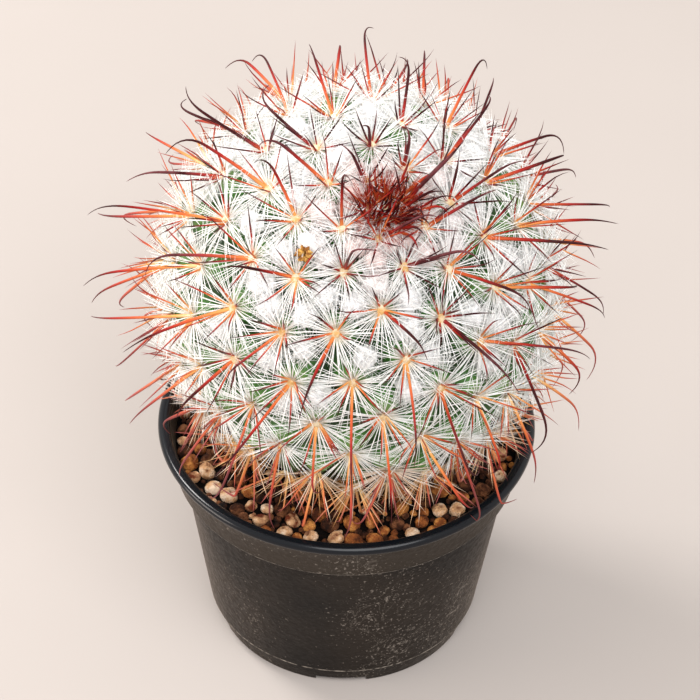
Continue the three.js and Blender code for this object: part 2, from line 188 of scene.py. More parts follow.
def icosphere(subdivisions: int) -> tuple[np.ndarray, np.ndarray]:
    """A sphere of radius 1 in even triangles.

    Args:
        subdivisions: how often the first twenty triangles are split.

    Returns:
        Its points and its faces.
    """
    ball = bmesh.new()
    bmesh.ops.create_icosphere(ball, subdivisions=subdivisions, radius=1.0)
    ball.verts.ensure_lookup_table()
    points = np.array([v.co[:] for v in ball.verts])
    faces = np.array([[v.index for v in f.verts] for f in ball.faces])
    ball.free()
    return points, faces


def band(ring: int, sides: int) -> list[np.ndarray]:
    """The triangles between one ring of points and the next.

    Args:
        ring: the first ring's number.
        sides: the number of points in each ring.

    Returns:
        Two blocks of triangles.
    """
    side = np.arange(sides)
    a, b = ring * sides + side, ring * sides + (side + 1) % sides
    return [np.stack([a, b, b + sides], 1), np.stack([a, b + sides, a + sides], 1)]


def revolve(profile: np.ndarray, sides: int) -> tuple[np.ndarray, np.ndarray]:
    """A closed surface of revolution about +Z.

    Args:
        profile: [radius, height] rows, whose first and last lie on the axis.
        sides: the number of columns round it.

    Returns:
        Its points and its faces, as triangles.
    """
    turns = even_turns(sides)
    rings = profile[1:-1]
    points = np.stack([
        np.outer(rings[:, 0], np.cos(turns)),
        np.outer(rings[:, 0], np.sin(turns)),
        np.repeat(rings[:, 1:], sides, axis=1),
    ], axis=-1).reshape(-1, 3)
    points = np.vstack([points, [[0, 0, profile[0, 1]], [0, 0, profile[-1, 1]]]])
    faces = [block for i in range(len(rings) - 1) for block in band(i, sides)]
    column = np.arange(sides)
    after = (column + 1) % sides
    last = (len(rings) - 1) * sides
    low, high = len(points) - 2, len(points) - 1
    faces.append(np.stack([np.full(sides, low), after, column], 1))
    faces.append(np.stack([np.full(sides, high), last + column, last + after], 1))
    return points, np.vstack(faces)


def strands(paths: np.ndarray, radii: np.ndarray, sides: int) -> tuple[np.ndarray, np.ndarray, np.ndarray]:
    """Many thin closed tubes, each ending in a point.

    Args:
        paths: the course of each, as strand by point by coordinate.
        radii: the radius at each point but the last of each strand.
        sides: the number of sides of each tube.

    Returns:
        The points, the faces as triangles, and how far along its strand each point lies, from 0 to 1.
    """
    count, steps = paths.shape[0], paths.shape[1] - 1
    ways = np.empty_like(paths)
    ways[:, 1:-1] = paths[:, 2:] - paths[:, :-2]
    ways[:, 0] = paths[:, 1] - paths[:, 0]
    ways[:, -1] = paths[:, -1] - paths[:, -2]
    ways = unit(ways)
    # The helper only has to point well away from the strand, so that the cross product holds.
    chord = unit(paths[:, -1] - paths[:, 0])
    helper = np.where(np.abs(chord[:, 2:]) < 0.8, [[0.1, 0.2, 1.0]], [[1.0, 0.1, 0.2]])
    across = unit(np.cross(ways, helper[:, None, :]))
    upright = np.cross(ways, across)
    turns = even_turns(sides)[:, None]
    spoke = across[:, :-1, None] * np.cos(turns) + upright[:, :-1, None] * np.sin(turns)
    rings = paths[:, :-1, None] + spoke * radii[:, :, None, None]
    points = np.concatenate([rings.reshape(count, -1, 3), paths[:, -1:]], axis=1)
    side = np.arange(sides)
    root = np.stack([np.zeros(sides - 2, int), side[2:], side[1:-1]], 1)
    top = (steps - 1) * sides
    tip = np.stack([top + side, top + (side + 1) % sides, np.full(sides, steps * sides)], 1)
    pattern = np.vstack([root, *(block for i in range(steps - 1) for block in band(i, sides)), tip])
    each = steps * sides + 1
    all_faces = (pattern[None] + (np.arange(count) * each)[:, None, None]).reshape(-1, 3)
    along = np.append(np.repeat(np.arange(steps) / steps, sides), 1.0)
    return points.reshape(-1, 3), all_faces, np.tile(along, count)


def lumps(points: np.ndarray, seed: int, waves: int, pitch: float) -> np.ndarray:
    """Smooth uneven values over points, as a sum of seeded waves.

    Args:
        points: where the values are wanted.
        seed: the seed of the waves.
        waves: how many waves are summed.
        pitch: the length of a middling wave.

    Returns:
        A value for each point, from about -1 to 1.
    """
    rng = np.random.default_rng(seed)
    total = np.zeros(len(points))
    for _ in range(waves):
        way = unit(rng.normal(size=3)) * rng.uniform(0.6, 1.6) * 2 * np.pi / pitch
        total += np.sin(points @ way + rng.uniform(0, 2 * np.pi))
    return total / math.sqrt(waves)


# ---------------------------------------------------------------- shader helpers


class NodeBoard:
    """A node tree, with short ways to add and join its nodes."""

    def __init__(self, tree: bpy.types.NodeTree) -> None:
        """Keeps the tree."""
        self.tree = tree

    def node(self, kind: str, **settings: object) -> bpy.types.Node:
        """Adds a node.

        Args:
            kind: the node's type.
            settings: its properties, by name.

        Returns:
            The node.
        """
        node = self.tree.nodes.new(kind)
        for name, given in settings.items():
            setattr(node, name, given)
        return node

    def feed(self, socket: Socket, given: Socket | float | tuple) -> None:
        """Joins an output to an input, or sets the input's own value.

        Args:
            socket: the input.
            given: the output, or the plain value.
        """
        if isinstance(given, Socket):
            self.tree.links.new(given, socket)
        else:
            socket.default_value = given

    def fill(self, node: bpy.types.Node, **inputs: Socket | float | tuple) -> bpy.types.Node:
        """Feeds several inputs of a node.

        Args:
            node: the node.
            inputs: what each input takes, with underscores for the spaces in its name.

        Returns:
            The node.
        """
        for name, given in inputs.items():
            self.feed(node.inputs[name.replace("_", " ")], given)
        return node

    def calc(self, operation: str, *terms: Socket | float, clamp: bool = False) -> Socket:
        """The result of a Math node.

        Args:
            operation: what it works out.
            terms: its inputs, as outputs or plain numbers.
            clamp: whether the result is kept between 0 and 1.

        Returns:
            Its output.
        """
        node = self.node("ShaderNodeMath", operation=operation, use_clamp=clamp)
        for socket, term in zip(node.inputs, terms):
            self.feed(socket, term)
        return node.outputs[0]

    def times(self, product: Socket, *factors: Socket | float) -> Socket:
        """The product of several values.

        Args:
            product: the first value.
            factors: the values that multiply it, one after the other.

        Returns:
            The product's output.
        """
        for factor in factors:
            product = self.calc("MULTIPLY", product, factor)
        return product

    def carry(self, value: Socket, start: Span, end: Span = (0.0, 1.0)) -> Socket:
        """Carries a value over from one range to another, and holds it at the range's ends.

        Args:
            value: the value.
            start: the range that it comes from.
            end: the range that it goes to.

        Returns:
            The new value's output.
        """
        ends = {"From_Min": start[0], "From_Max": start[1], "To_Min": end[0], "To_Max": end[1]}
        return self.fill(self.node("ShaderNodeMapRange"), Value=value, **ends).outputs["Result"]

    def noise(self, place: Socket, scale: Socket | float, detail: float, distortion: float = 0.0) -> Socket:
        """A noise over places.

        Args:
            place: where it is read.
            scale: its waves to a metre.
            detail: how many finer layers it has.
            distortion: how far it is pulled about.

        Returns:
            Its value's output.
        """
        node = self.node("ShaderNodeTexNoise")
        self.fill(node, Vector=place, Scale=scale, Detail=detail, Distortion=distortion)
        return node.outputs["Fac"]


class Shader(NodeBoard):
    """A material's node tree round its one Principled shader."""

    def __init__(self, name: str) -> None:
        """Makes an empty material.

        Args:
            name: the material's name.
        """
        self.material = bpy.data.materials.new(name)
        self.material.use_nodes = True
        super().__init__(self.material.node_tree)
        self.principled = self.tree.nodes["Principled BSDF"]

    def value(self, name: str) -> Socket:
        """The mesh's own numbers of that name, as an output."""
        return self.node("ShaderNodeAttribute", attribute_name=name).outputs["Fac"]

    def place(self) -> Socket:
        """The place on the object, in metres, as an output."""
        return self.node("ShaderNodeTexCoord").outputs["Object"]

    def ramp(self, value: Socket, *stops: tuple[float, str]) -> Socket:
        """Colours over a value.

        Args:
            value: the value that picks the colour.
            stops: where each colour stands, and its code.

        Returns:
            The colour's output.
        """
        ramp = self.node("ShaderNodeValToRGB")
        elements = ramp.color_ramp.elements
        while len(elements) < len(stops):
            elements.new(0.5)
        for element, (position, code) in zip(elements, stops):
            element.position = position
            element.color = paint(code)
        return self.fill(ramp, Fac=value).outputs["Color"]

    def blend(self, share: Socket, low: Socket | str, high: Socket | str) -> Socket:
        """Mixes two colours.

        Args:
            share: how much of the second shows.
            low: the first colour's output or its code.
            high: the second colour's output or its code.

        Returns:
            The mixed colour's output.
        """
        node = self.node("ShaderNodeMix", data_type="RGBA")
        self.feed(node.inputs[0], share)
        for socket, given in ((node.inputs[6], low), (node.inputs[7], high)):
            self.feed(socket, paint(given) if isinstance(given, str) else given)
        return node.outputs[2]

    def effect(self, group: bpy.types.NodeTree, **settings: float) -> bpy.types.bpy_prop_collection:
        """Places a shared effect with this material's own values.

        Args:
            group: the effect's node group.
            settings: its inputs, with underscores for the spaces in their names.

        Returns:
            The effect's outputs.
        """
        node = self.node("ShaderNodeGroup", node_tree=group)
        return self.fill(node, Place=self.place(), **settings).outputs

    def bump(self, height: Socket, strength: float, depth: float) -> None:
        """Raises the surface's normal by a height.

        Args:
            height: the height's output, from 0 to 1.
            strength: how strongly it shows.
            depth: the full height, in millimetres.
        """
        node = self.fill(self.node("ShaderNodeBump"), Height=height, Strength=strength, Distance=depth * MM)
        self.fill(self.principled, Normal=node.outputs["Normal"])

    def finish(self, colour: Socket, roughness: Socket | float, **others: Socket | float | tuple) -> Material:
        """Sets the Principled shader's inputs.

        Args:
            colour: the base colour's output.
            roughness: the roughness.
            others: the other inputs, with underscores for spaces.

        Returns:
            The finished material.
        """
        self.fill(self.principled, Base_Color=colour, Roughness=roughness, **others)
        return self.material


class Effects:
    """The shared shader effects: grain and dust."""

    def __init__(self) -> None:
        """Builds each effect's node group once."""
        self.grain = self._build_grain()
        self.dust = self._build_dust()

    @staticmethod
    def _start(name: str, inputs: dict[str, float], outputs: tuple[str, ...]) -> tuple:
        """Starts a group that takes the surface's place and numbers and puts out numbers.

        Args:
            name: the group's name.
            inputs: its number inputs with their values.
            outputs: the names of its number outputs.

        Returns:
            The group's board, what the group is given and what it puts out.
        """
        tree = bpy.data.node_groups.new(name, "ShaderNodeTree")
        tree.interface.new_socket("Place", in_out="INPUT", socket_type="NodeSocketVector")
        for socket_name, given in inputs.items():
            socket = tree.interface.new_socket(socket_name, in_out="INPUT", socket_type="NodeSocketFloat")
            socket.default_value = given
        for socket_name in outputs:
            tree.interface.new_socket(socket_name, in_out="OUTPUT", socket_type="NodeSocketFloat")
        board = NodeBoard(tree)
        return board, board.node("NodeGroupInput").outputs, board.node("NodeGroupOutput").inputs

    def _build_grain(self) -> bpy.types.NodeTree:
        """Uneven tone in two sizes, broad patches and fine grain, each about a half.

        Returns:
            The group.
        """
        inputs = {"Patch Scale": 60.0, "Grain Scale": 900.0, "Contrast": 1.0}
        board, given, out = self._start("surface_grain", inputs, ("Patch", "Grain"))
        gain = board.calc("MULTIPLY", given["Contrast"], 2.0)
        for name, detail in (("Patch", 3.0), ("Grain", 5.0)):
            noise = board.noise(given["Place"], given[f"{name} Scale"], detail)
            centred = board.calc("SUBTRACT", noise, 0.5)
            board.feed(out[name], board.calc("MULTIPLY_ADD", centred, gain, 0.5, clamp=True))
        return board.tree

    def _build_dust(self) -> bpy.types.NodeTree:
        """Pale dust: a film in patches, with the more specks in it the thicker it lies.

        Returns:
            The group.
        """
        inputs = {"Speck Scale": 1800.0, "Patch Scale": 45.0, "Amount": 0.5}
        thin_to_thick, few_to_many, sharpness = (0.28, 0.52), (0.74, 0.56), 14.0
        board, given, out = self._start("pale_dust", inputs, ("Specks", "Film"))
        speck = board.noise(given["Place"], given["Speck Scale"], 2.0)
        film = board.times(board.noise(given["Place"], given["Patch Scale"], 4.0), given["Amount"])
        over = board.calc("SUBTRACT", speck, board.carry(film, thin_to_thick, few_to_many))
        board.feed(out["Specks"], board.calc("MULTIPLY", over, sharpness, clamp=True))
        board.feed(out["Film"], film)
        return board.tree


# ---------------------------------------------------------------- finishes


@dataclass(frozen=True)
class PlasticFinish:
    """Black moulded plastic with a brown-grey bloom, scuffs and pale specks.

    The shares say how much of a mark's colour shows at most, and the widths are in millimetres.
    """

    fresh: str = "0b0e13"
    plain: str = "110e0c"
    bloom: str = "211b16"
    bleached: str = "302922"
    dust: str = "8a8178"
    scuff: str = "9a9186"
    sheen: str = "ffe0c4"
    bleached_share: float = 0.75
    speck_share: float = 0.55
    edge_share: float = 0.9
    scratch_share: float = 0.7
    gloss_fade: float = 0.6
    collar_fade: float = 0.8
    edge_width: float = 0.26
    gloss: float = 0.22

    def make(self, effects: Effects, rings: tuple[float, ...], bead_foot: float) -> Material:
        """Builds the material.

        Args:
            effects: the shared effects.
            rings: the heights of the scuffed edges, in millimetres; the second is the collar's foot.
            bead_foot: the height above which the rim bead shows fresh plastic, in millimetres.

        Returns:
            The material.
        """
        shader = Shader("pot_plastic")
        grain = shader.effect(effects.grain, Patch_Scale=34.0, Grain_Scale=700.0, Contrast=2.2)
        dust = shader.effect(effects.dust, Speck_Scale=1500.0, Patch_Scale=30.0, Amount=0.76)
        height = shader.fill(shader.node("ShaderNodeSeparateXYZ"), Vector=shader.place()).outputs["Z"]
        wall = shader.carry(height, ((bead_foot + self.gloss_fade) * MM, (bead_foot - self.gloss_fade) * MM))
        collar = shader.carry(height, (rings[1] * MM, (rings[1] + self.collar_fade) * MM))
        colour = shader.blend(wall, self.fresh, self.plain)
        for share, tone in (
            (shader.times(grain["Patch"], wall), self.bloom),
            (shader.times(collar, wall, self.bleached_share), self.bleached),
            (shader.times(dust["Specks"], self.speck_share, wall), self.dust),
            (shader.times(self._scratches(shader, dust["Film"]), wall), self.scuff),
            *((self._edge(shader, height, ring, grain["Grain"]), self.scuff) for ring in rings),
        ):
            colour = shader.blend(share, colour, tone)
        relief = shader.calc("ADD", grain["Grain"], dust["Specks"])
        shader.bump(shader.times(relief, wall), 0.35, 0.12)
        matt = shader.calc("MULTIPLY_ADD", grain["Grain"], 0.12, 0.22)
        return shader.finish(
            colour,
            shader.calc("MULTIPLY_ADD", wall, matt, 0.2),
            Coat_Weight=shader.calc("MULTIPLY_ADD", wall, -self.gloss, self.gloss),
            Coat_Roughness=0.14,
            Specular_IOR_Level=0.14,
            Sheen_Weight=0.08,
            Sheen_Roughness=0.3,
            Sheen_Tint=paint(self.sheen),
        )

    def _edge(self, shader: Shader, height: Socket, ring: float, grain: Socket) -> Socket:
        """A worn line round a moulded edge.

        Args:
            shader: the material's shader.
            height: the height on the pot, in metres.
            ring: the edge's height, in millimetres.
            grain: the grain that breaks the line up.

        Returns:
            How much of the scuff colour shows.
        """
        gap = shader.calc("ABSOLUTE", shader.calc("SUBTRACT", height, ring * MM))
        line = shader.calc("SUBTRACT", 1.0, shader.calc("DIVIDE", gap, self.edge_width * MM), clamp=True)
        return shader.calc("MULTIPLY", line, shader.times(grain, self.edge_share), clamp=True)

    def _scratches(self, shader: Shader, film: Socket) -> Socket:
        """Fine curved scratches, only where the film of dust is thick.

        Args:
            shader: the material's shader.
            film: how thick the dust lies.

        Returns:
            How much of the scratch colour shows.
        """
        fineness, thickening, bare = 80.0, 9.0, 3.75
        marks = shader.noise(shader.place(), 120.0, 6.0, 2.2)
        off_line = shader.calc("ABSOLUTE", shader.calc("SUBTRACT", marks, 0.5))
        line = shader.calc("SUBTRACT", 1.0, shader.times(off_line, fineness), clamp=True)
        patchy = shader.calc("SUBTRACT", shader.times(film, thickening), bare, clamp=True)
        return shader.times(line, patchy, self.scratch_share)


@dataclass(frozen=True)
class GranuleFinish:
    """A dry granule: body colour and paler bloom in patches, with painted shade in the pit in its top."""

    name: str
    dark: str
    body: str
    pale: str

    def make(self, effects: Effects) -> Material:
        """Builds the material, with each granule's own tint and its pit from the mesh.

        Args:
            effects: the shared effects.

        Returns:
            The material.
        """
        shader = Shader(self.name)
        grain = shader.effect(effects.grain, Patch_Scale=420.0, Grain_Scale=2600.0, Contrast=1.8)
        tone = shader.calc("MULTIPLY_ADD", grain["Patch"], 0.6, shader.times(shader.value("tint"), 0.4))
        colour = shader.ramp(tone, (0.12, self.dark), (0.5, self.body), (0.85, self.pale))
        # Painted shade: the pit in a granule's top is coloured dark, as the shade inside it.
        colour = shader.blend(shader.times(shader.value("pit"), 0.92), colour, self.dark)
        shader.bump(shader.calc("ADD", grain["Grain"], grain["Patch"]), 0.9, 0.3)
        return shader.finish(colour, 0.88, Specular_IOR_Level=0.22)


class Mottle(Enum):
    """The size of the mottling that mixes two tones."""

    BROAD = "Patch"
    FINE = "Grain"


@dataclass(frozen=True)
class MottledFinish:
    """A dry surface in two tones, with a fine relief whose depth is in millimetres."""

    name: str
    first: str
    second: str
    mottle: Mottle
    patch_scale: float
    grain_scale: float
    contrast: float
    strength: float
    depth: float
    roughness: float
    specular: float

    def make(self, effects: Effects) -> Material:
        """Builds the material.

        Args:
            effects: the shared effects.

        Returns:
            The material.
        """
        shader = Shader(self.name)
        grain = shader.effect(
            effects.grain, Patch_Scale=self.patch_scale, Grain_Scale=self.grain_scale, Contrast=self.contrast
        )
        shader.bump(grain["Grain"], self.strength, self.depth)
        colour = shader.blend(grain[self.mottle.value], self.first, self.second)
        return shader.finish(colour, self.roughness, Specular_IOR_Level=self.specular)


# The fine dark mix under the granules, made near black as painted shade in the gaps and under the plant,
# the cream felt of an areole, yellow where the spines leave it, and a dried flower's papery ochre husk.
EARTH_DARKENED_AS_SHADE = MottledFinish("fine_mix", "060302", "180d08", Mottle.FINE, 260.0, 1500.0, 1.6, 1.0, 0.6, 0.95, 0.15)
FELT = MottledFinish(
    "areole_felt", "efe0c0", "dcae6e", Mottle.BROAD, 600.0, 3600.0, 2.0, 0.8, 0.25, 0.85, 0.15
)
HUSK = MottledFinish("dried_husk", "85501f", "dcae5c", Mottle.BROAD, 700.0, 2400.0, 2.2, 0.8, 0.3, 0.8, 0.2)


@dataclass(frozen=True)
class SkinFinish:
    """Waxy green skin: painted shade in the valleys, painted highlight near the tips, cork and painted shade
    at the foot.
    """

    deep: str = "163012"
    fresh: str = "427a2d"
    tip: str = "7c9a55"
    corky_and_shade: str = "1c130c"

    def make(self, effects: Effects) -> Material:
        """Builds the material, with the height on the tubercle and on the globe from the mesh.

        Args:
            effects: the shared effects.

        Returns:
            The material.
        """
        shader = Shader("cactus_skin")
        grain = shader.effect(effects.grain, Patch_Scale=70.0, Grain_Scale=1600.0, Contrast=1.2)
        # Painted light: the height on the tubercle darkens the skin in the valleys as painted shade and pales
        # it towards the tips as a painted highlight; the patches are the skin's own uneven tone.
        toned = shader.calc("MULTIPLY_ADD", grain["Patch"], 0.25, shader.times(shader.value("rise"), 0.8))
        colour = shader.ramp(toned, (0.1, self.deep), (0.6, self.fresh), (1.0, self.tip))
        # The foot turns dark brown: partly corky skin, partly painted shade under the globe.
        colour = shader.blend(shader.times(shader.value("low"), 0.9), colour, self.corky_and_shade)
        shader.bump(grain["Grain"], 0.25, 0.1)
        return shader.finish(colour, 0.45, Specular_IOR_Level=0.35)


@dataclass(frozen=True)
class BristleFinish:
    """Fine glassy bristles: cream at the foot and white beyond, and straw-brown when old."""

    foot: str = "f5ead0"
    body: str = "f7f8f7"
    old: str = "cf9650"

    def make(self, effects: Effects) -> Material:
        """Builds the material, with age from the mesh.

        Args:
            effects: the shared effects.

        Returns:
            The material.
        """
        shader = Shader("spine_white")
        grain = shader.effect(effects.grain, Patch_Scale=150.0, Grain_Scale=1200.0, Contrast=1.0)
        colour = shader.ramp(shader.value("along"), (0.0, self.foot), (0.28, self.body))
        colour = shader.blend(shader.value("old"), colour, self.old)
        colour = shader.blend(shader.times(grain["Grain"], 0.12), colour, self.foot)
        return shader.finish(colour, 0.4, Specular_IOR_Level=0.5)


@dataclass(frozen=True)
class HornFinish:
    """Horny centrals: straw at the foot, amber, then red to maroon; old ones fade to straw and pink."""

    foot: str = "f2dcb0"
    amber: str = "dc9a55"
    rust: str = "bf5a2e"
    red: str = "931c15"
    dark: str = "300507"
    scurf: str = "80474b"
    old_foot: str = "ecc688"
    old_body: str = "cc8150"
    old_tip: str = "b4605c"

    def make(self, effects: Effects) -> Material:
        """Builds the material, with age, darkness, scurf and the place along the spine from the mesh.

        Args:
            effects: the shared effects.

        Returns:
            The material.
        """
        shader = Shader("spine_red")
        grain = shader.effect(effects.grain, Patch_Scale=260.0, Grain_Scale=1500.0, Contrast=1.6)
        along = shader.calc("ADD", shader.value("along"), shader.value("shift"))
        young = shader.ramp(
            along,
            (0.04, self.foot),
            (0.22, self.amber),
            (0.46, self.rust),
            (0.68, self.red),
            (0.88, self.dark),
        )
        faded = shader.ramp(along, (0.05, self.old_foot), (0.42, self.old_body), (0.85, self.old_tip))
        colour = shader.blend(shader.value("old"), young, faded)
        outer_part = shader.calc("SUBTRACT", along, 0.35, clamp=True)
        scurfy = shader.times(shader.value("scurf"), outer_part, grain["Patch"])
        colour = shader.blend(scurfy, colour, self.scurf)
        shader.bump(grain["Grain"], 0.15, 0.05)
        return shader.finish(colour, 0.4, Specular_IOR_Level=0.12)


@dataclass(frozen=True)
class WoolFinish:
    """White wool, a little pink where young spines stain it."""

    white: str = "fafafa"
    shade: str = "f2f3f3"
    pink: str = "eec3b8"

    def make(self, effects: Effects) -> Material:
        """Builds the material, with the stain from the mesh.

        Args:
            effects: the shared effects.

        Returns:
            The material.
        """
        shader = Shader("wool")
        grain = shader.effect(effects.grain, Patch_Scale=500.0, Grain_Scale=4200.0, Contrast=2.0)
        colour = shader.blend(shader.times(grain["Grain"], 0.5), self.white, self.shade)
        colour = shader.blend(shader.value("pink"), colour, self.pink)
        shader.bump(grain["Grain"], 0.35, 0.3)
        return shader.finish(
            colour,
            0.9,
            Specular_IOR_Level=0.1,
            Subsurface_Weight=0.6,
            Subsurface_Scale=1.5 * MM,
            Subsurface_Radius=(1.0, 0.96, 0.92),
        )


# ---------------------------------------------------------------- the plant's layout


@dataclass(frozen=True)
class Growth:
    """Sizes of the globe and of its spiral of tubercles, in millimetres and degrees.

    The globe reaches as far as its reach above the middle and its depth below it. The growing point lies
    at a tilt from upright, towards a heading. Each tubercle stands at the golden angle from the one
    before and takes up a cell of skin, less of it for about as many of the youngest as the crowding says.
    """

    centre: tuple[float, float, float] = (2.0, 0.0, 100.0)
    reach: float = 43.5
    depth: float = 47.0
    fullness: float = 2.15
    tilt: float = 30.4
    heading: float = -75.7
    angle: float = 137.508
    start: float = 75.5
    cell: float = 154.0
    crowding: float = 10.2
    maturing: float = 14.0
    count: int = 163


@dataclass(frozen=True)
class Areole:
    """Where one tubercle's spines stand, and how grown it is."""

    index: int
    place: np.ndarray
    normal: np.ndarray
    away: np.ndarray
    side: np.ndarray
    spacing: float
    age: float

    @property
    def growth(self) -> float:
        """The tubercle's size as a share of a full-grown one, which stands 11 mm from the next."""
        return min(1.0, self.spacing / 11.0)

    def sideways(self, turn: float) -> np.ndarray:
        """The way along the skin at a turn, in radians, from the way away from the growing point."""
        return self.away * math.cos(turn) + self.side * math.sin(turn)


class Spiral:
    """The tubercles in the order that they grew, on a golden-angle spiral from the growing point."""

    def __init__(self, growth: Growth) -> None:
        """Works out every areole.

        Args:
            growth: the sizes of the globe and the spiral.
        """
        self.growth = growth
        self.centre = np.array(growth.centre)
        tilt, heading = math.radians(growth.tilt), math.radians(growth.heading)
        flat = math.sin(tilt)
        self.axis = np.array([flat * math.cos(heading), flat * math.sin(heading), math.cos(tilt)])
        self.across = unit(np.cross([0.0, 0.0, 1.0], self.axis))
        self.along = np.cross(self.axis, self.across)
        self.areoles = [self._areole(n) for n in range(growth.count)]
        self.normals = np.array([areole.normal for areole in self.areoles])
        self.spacings = np.array([areole.spacing for areole in self.areoles])

    def outwards(self, turn: float) -> np.ndarray:
        """The way from the growing point at a turn in radians, square to the plant's axis."""
        return self.across * math.cos(turn) + self.along * math.sin(turn)

    def _areole(self, n: int) -> Areole:
        """Works out one areole.

        Args:
            n: its place in the order of growth.

        Returns:
            The areole.
        """
        g = self.growth
        young = math.exp(-(n + 0.5) / g.crowding)
        skin = g.cell * (n + 0.5 - g.crowding * (1 - young)) / (4 * math.pi * g.reach**2)
        polar = math.acos(max(-1.0, min(1.0, 1 - 2 * skin)))
        outwards = self.outwards(math.radians(g.start - n * g.angle))
        normal = self.axis * math.cos(polar) + outwards * math.sin(polar)
        away = outwards * math.cos(polar) - self.axis * math.sin(polar)
        return Areole(
            index=n,
            place=self.centre + normal * self.reach(normal[None])[0],
            normal=normal,
            away=away,
            side=np.cross(normal, away),
            spacing=math.sqrt(g.cell * (1 - young)),
            age=1 - math.exp(-(n + 0.5) / g.maturing),
        )

    def reach(self, directions: np.ndarray) -> np.ndarray:
        """The distance from the centre to the areoles: a ball above, and a fuller bowl below.

        Args:
            directions: unit vectors from the globe's centre.

        Returns:
            The distance for each.
        """
        g = self.growth
        level = np.hypot(directions[:, 0], directions[:, 1]) / g.reach
        down = np.maximum(-directions[:, 2], 0) / g.depth
        below = np.maximum(level**g.fullness + down**g.fullness, 1e-9) ** (-1 / g.fullness)
        return np.where(directions[:, 2] >= 0, g.reach, below)

    def valley(self, directions: np.ndarray) -> tuple[np.ndarray, np.ndarray]:
        """How far each direction lies between tubercles, and the spacing there.

        Args:
            directions: unit vectors from the globe's centre.

        Returns:
            0 at an areole to 1 half-way to its neighbour, and the nearest tubercle's spacing.
        """
        share = np.empty(len(directions))
        nearest = np.empty(len(directions), int)
        at_once = 20000
        for start in range(0, len(directions), at_once):
            block = slice(start, start + at_once)
            angle = np.arccos(np.clip(directions[block] @ self.normals.T, -1, 1))
            order = np.argpartition(angle, 1, axis=1)[:, :2]
            two = np.take_along_axis(angle, order, axis=1)
            near, far = two.min(axis=1), two.max(axis=1)
            share[block] = 2 * near / (near + far)
            nearest[block] = order[np.arange(len(order)), np.argmin(two, axis=1)]
        return share, self.spacings[nearest]

    def angle_from_apex(self, direction: np.ndarray) -> float:
        """Degrees from the growing point to a direction."""
        return math.degrees(math.acos(float(np.clip(direction @ self.axis, -1, 1))))


@dataclass(frozen=True)
class Room:
    """The room that the spines keep to: inside the plant's outline and clear of the grit and the rim."""

    reach: float = 61.0
    headroom: float = 151.0
    over_grit: float = 57.4
    over_rim: float = 60.2
    rim_from: float = 33.0
    rim_rise: float = 5.0

    def lowest(self, radius: np.ndarray) -> np.ndarray:
        """The lowest that a spine passes at a distance from the pot's axis."""
        rise = np.clip((radius - self.rim_from) / self.rim_rise, 0, 1)
        return self.over_grit + (self.over_rim - self.over_grit) * rise

    def keep(self, points: np.ndarray) -> np.ndarray:
        """Shortens and lifts a course until it keeps to the room.

        Args:
            points: the course, from its root.

        Returns:
            The kept course.
        """
        root = points[0]
        reach = np.hypot(points[:, 0], points[:, 1])
        scale = 1.0
        if reach.max() > self.reach:
            scale = min(scale, (self.reach - reach[0]) / (reach.max() - reach[0]))
        if points[:, 2].max() > self.headroom:
            scale = min(scale, (self.headroom - root[2]) / (points[:, 2].max() - root[2]))
        kept = root + (points - root) * scale
        kept[:, 2] = np.maximum(kept[:, 2], self.lowest(np.hypot(kept[:, 0], kept[:, 1])))
        return kept


ROOM = Room()

# The steps of a course, and its hook's least length in millimetres and as a share of the spine's length.
COURSE_STEPS = 24
HOOK_ARC = 6.0
HOOK_SHARE = 0.42


@dataclass(frozen=True)
class Course:
    """How a spine leaves its areole and runs, in millimetres and degrees.

    It turns from the way away from the growing point, leans from the normal and starts an offset from the
    areole's middle and some way back under the skin. It bows all along and hooks near its tip, both
    towards the way that the swing sets.
    """

    turn: float
    lean: float
    length: float
    back: float = 2.0
    hook: float = 0.0
    swing: float = 0.0
    bow: float = 0.0
    offset: float = 0.8

    def trace(self, areole: Areole) -> np.ndarray:
        """The spine's course from its sunk root to its tip, kept inside the plant's room.

        Args:
            areole: the areole that it grows from.

        Returns:
            COURSE_STEPS + 1 points.
        """
        turn, lean = math.radians(self.turn), math.radians(self.lean)
        sideways = areole.sideways(turn)
        heading = unit(areole.normal * math.cos(lean) + sideways * math.sin(lean))
        bend_to = unit(areole.away - heading * (areole.away @ heading))
        bend_to = turned_about(bend_to, heading, math.radians(self.swing))
        whole = self.length + self.back
        steps = (np.arange(COURSE_STEPS) + 0.5) / COURSE_STEPS
        arc = max(HOOK_ARC, HOOK_SHARE * self.length)
        bend = np.radians(self.bow * steps + self.hook * (1 - smoothstep((1 - steps) * whole, 0, arc)))
        ways = np.outer(np.cos(bend), heading) + np.outer(np.sin(bend), bend_to)
        root = areole.place + sideways * self.offset - heading * self.back
        return ROOM.keep(np.vstack([root, root + np.cumsum(ways * whole / COURSE_STEPS, axis=0)]))


# The long spines that stand out at the front, by areole: the turn from the way away from the growing
# point, the length and the hook. The young ones also have their own lean and swing.
NOTED: dict[int, tuple[float, ...]] = {
    3: (4, 19, 61, 38, 24), 4: (130, 15, 89, 44, 99), 5: (55, 19, 95, 13, 19), 6: (47, 19, 79, 29, 50),
    7: (-118, 19, 99, 39, 98), 8: (52, 19, 90, 5, 45), 9: (96, 19, 90, 41, 42), 11: (23, 20, 64, 28, 6),
    12: (-172, 20, 91, 15, 116), 13: (147, 19, 58, 2, 122), 14: (20, 22, 70), 15: (-85, 18, 110),
    17: (60, 16, 30), 19: (0, 28, 40), 20: (-55, 17, 60), 22: (25, 34, 15), 25: (-10, 21, 5),
    27: (35, 22, 90), 28: (-25, 26, 80), 30: (0, 29, 10), 32: (10, 24, 10), 33: (-15, 17, 90),
    35: (60, 28, 60), 36: (-10, 34, 50), 38: (10, 26, 10), 41: (-20, 34, 10), 43: (-5, 27, 150),
    46: (-10, 27, 20), 49: (-15, 30, 35), 51: (10, 24, 10), 54: (-5, 20, 40), 57: (5, 28, 40),
    59: (15, 20, 110), 62: (-30, 29, 40), 70: (5, 28, 30),
}


# ---------------------------------------------------------------- pot


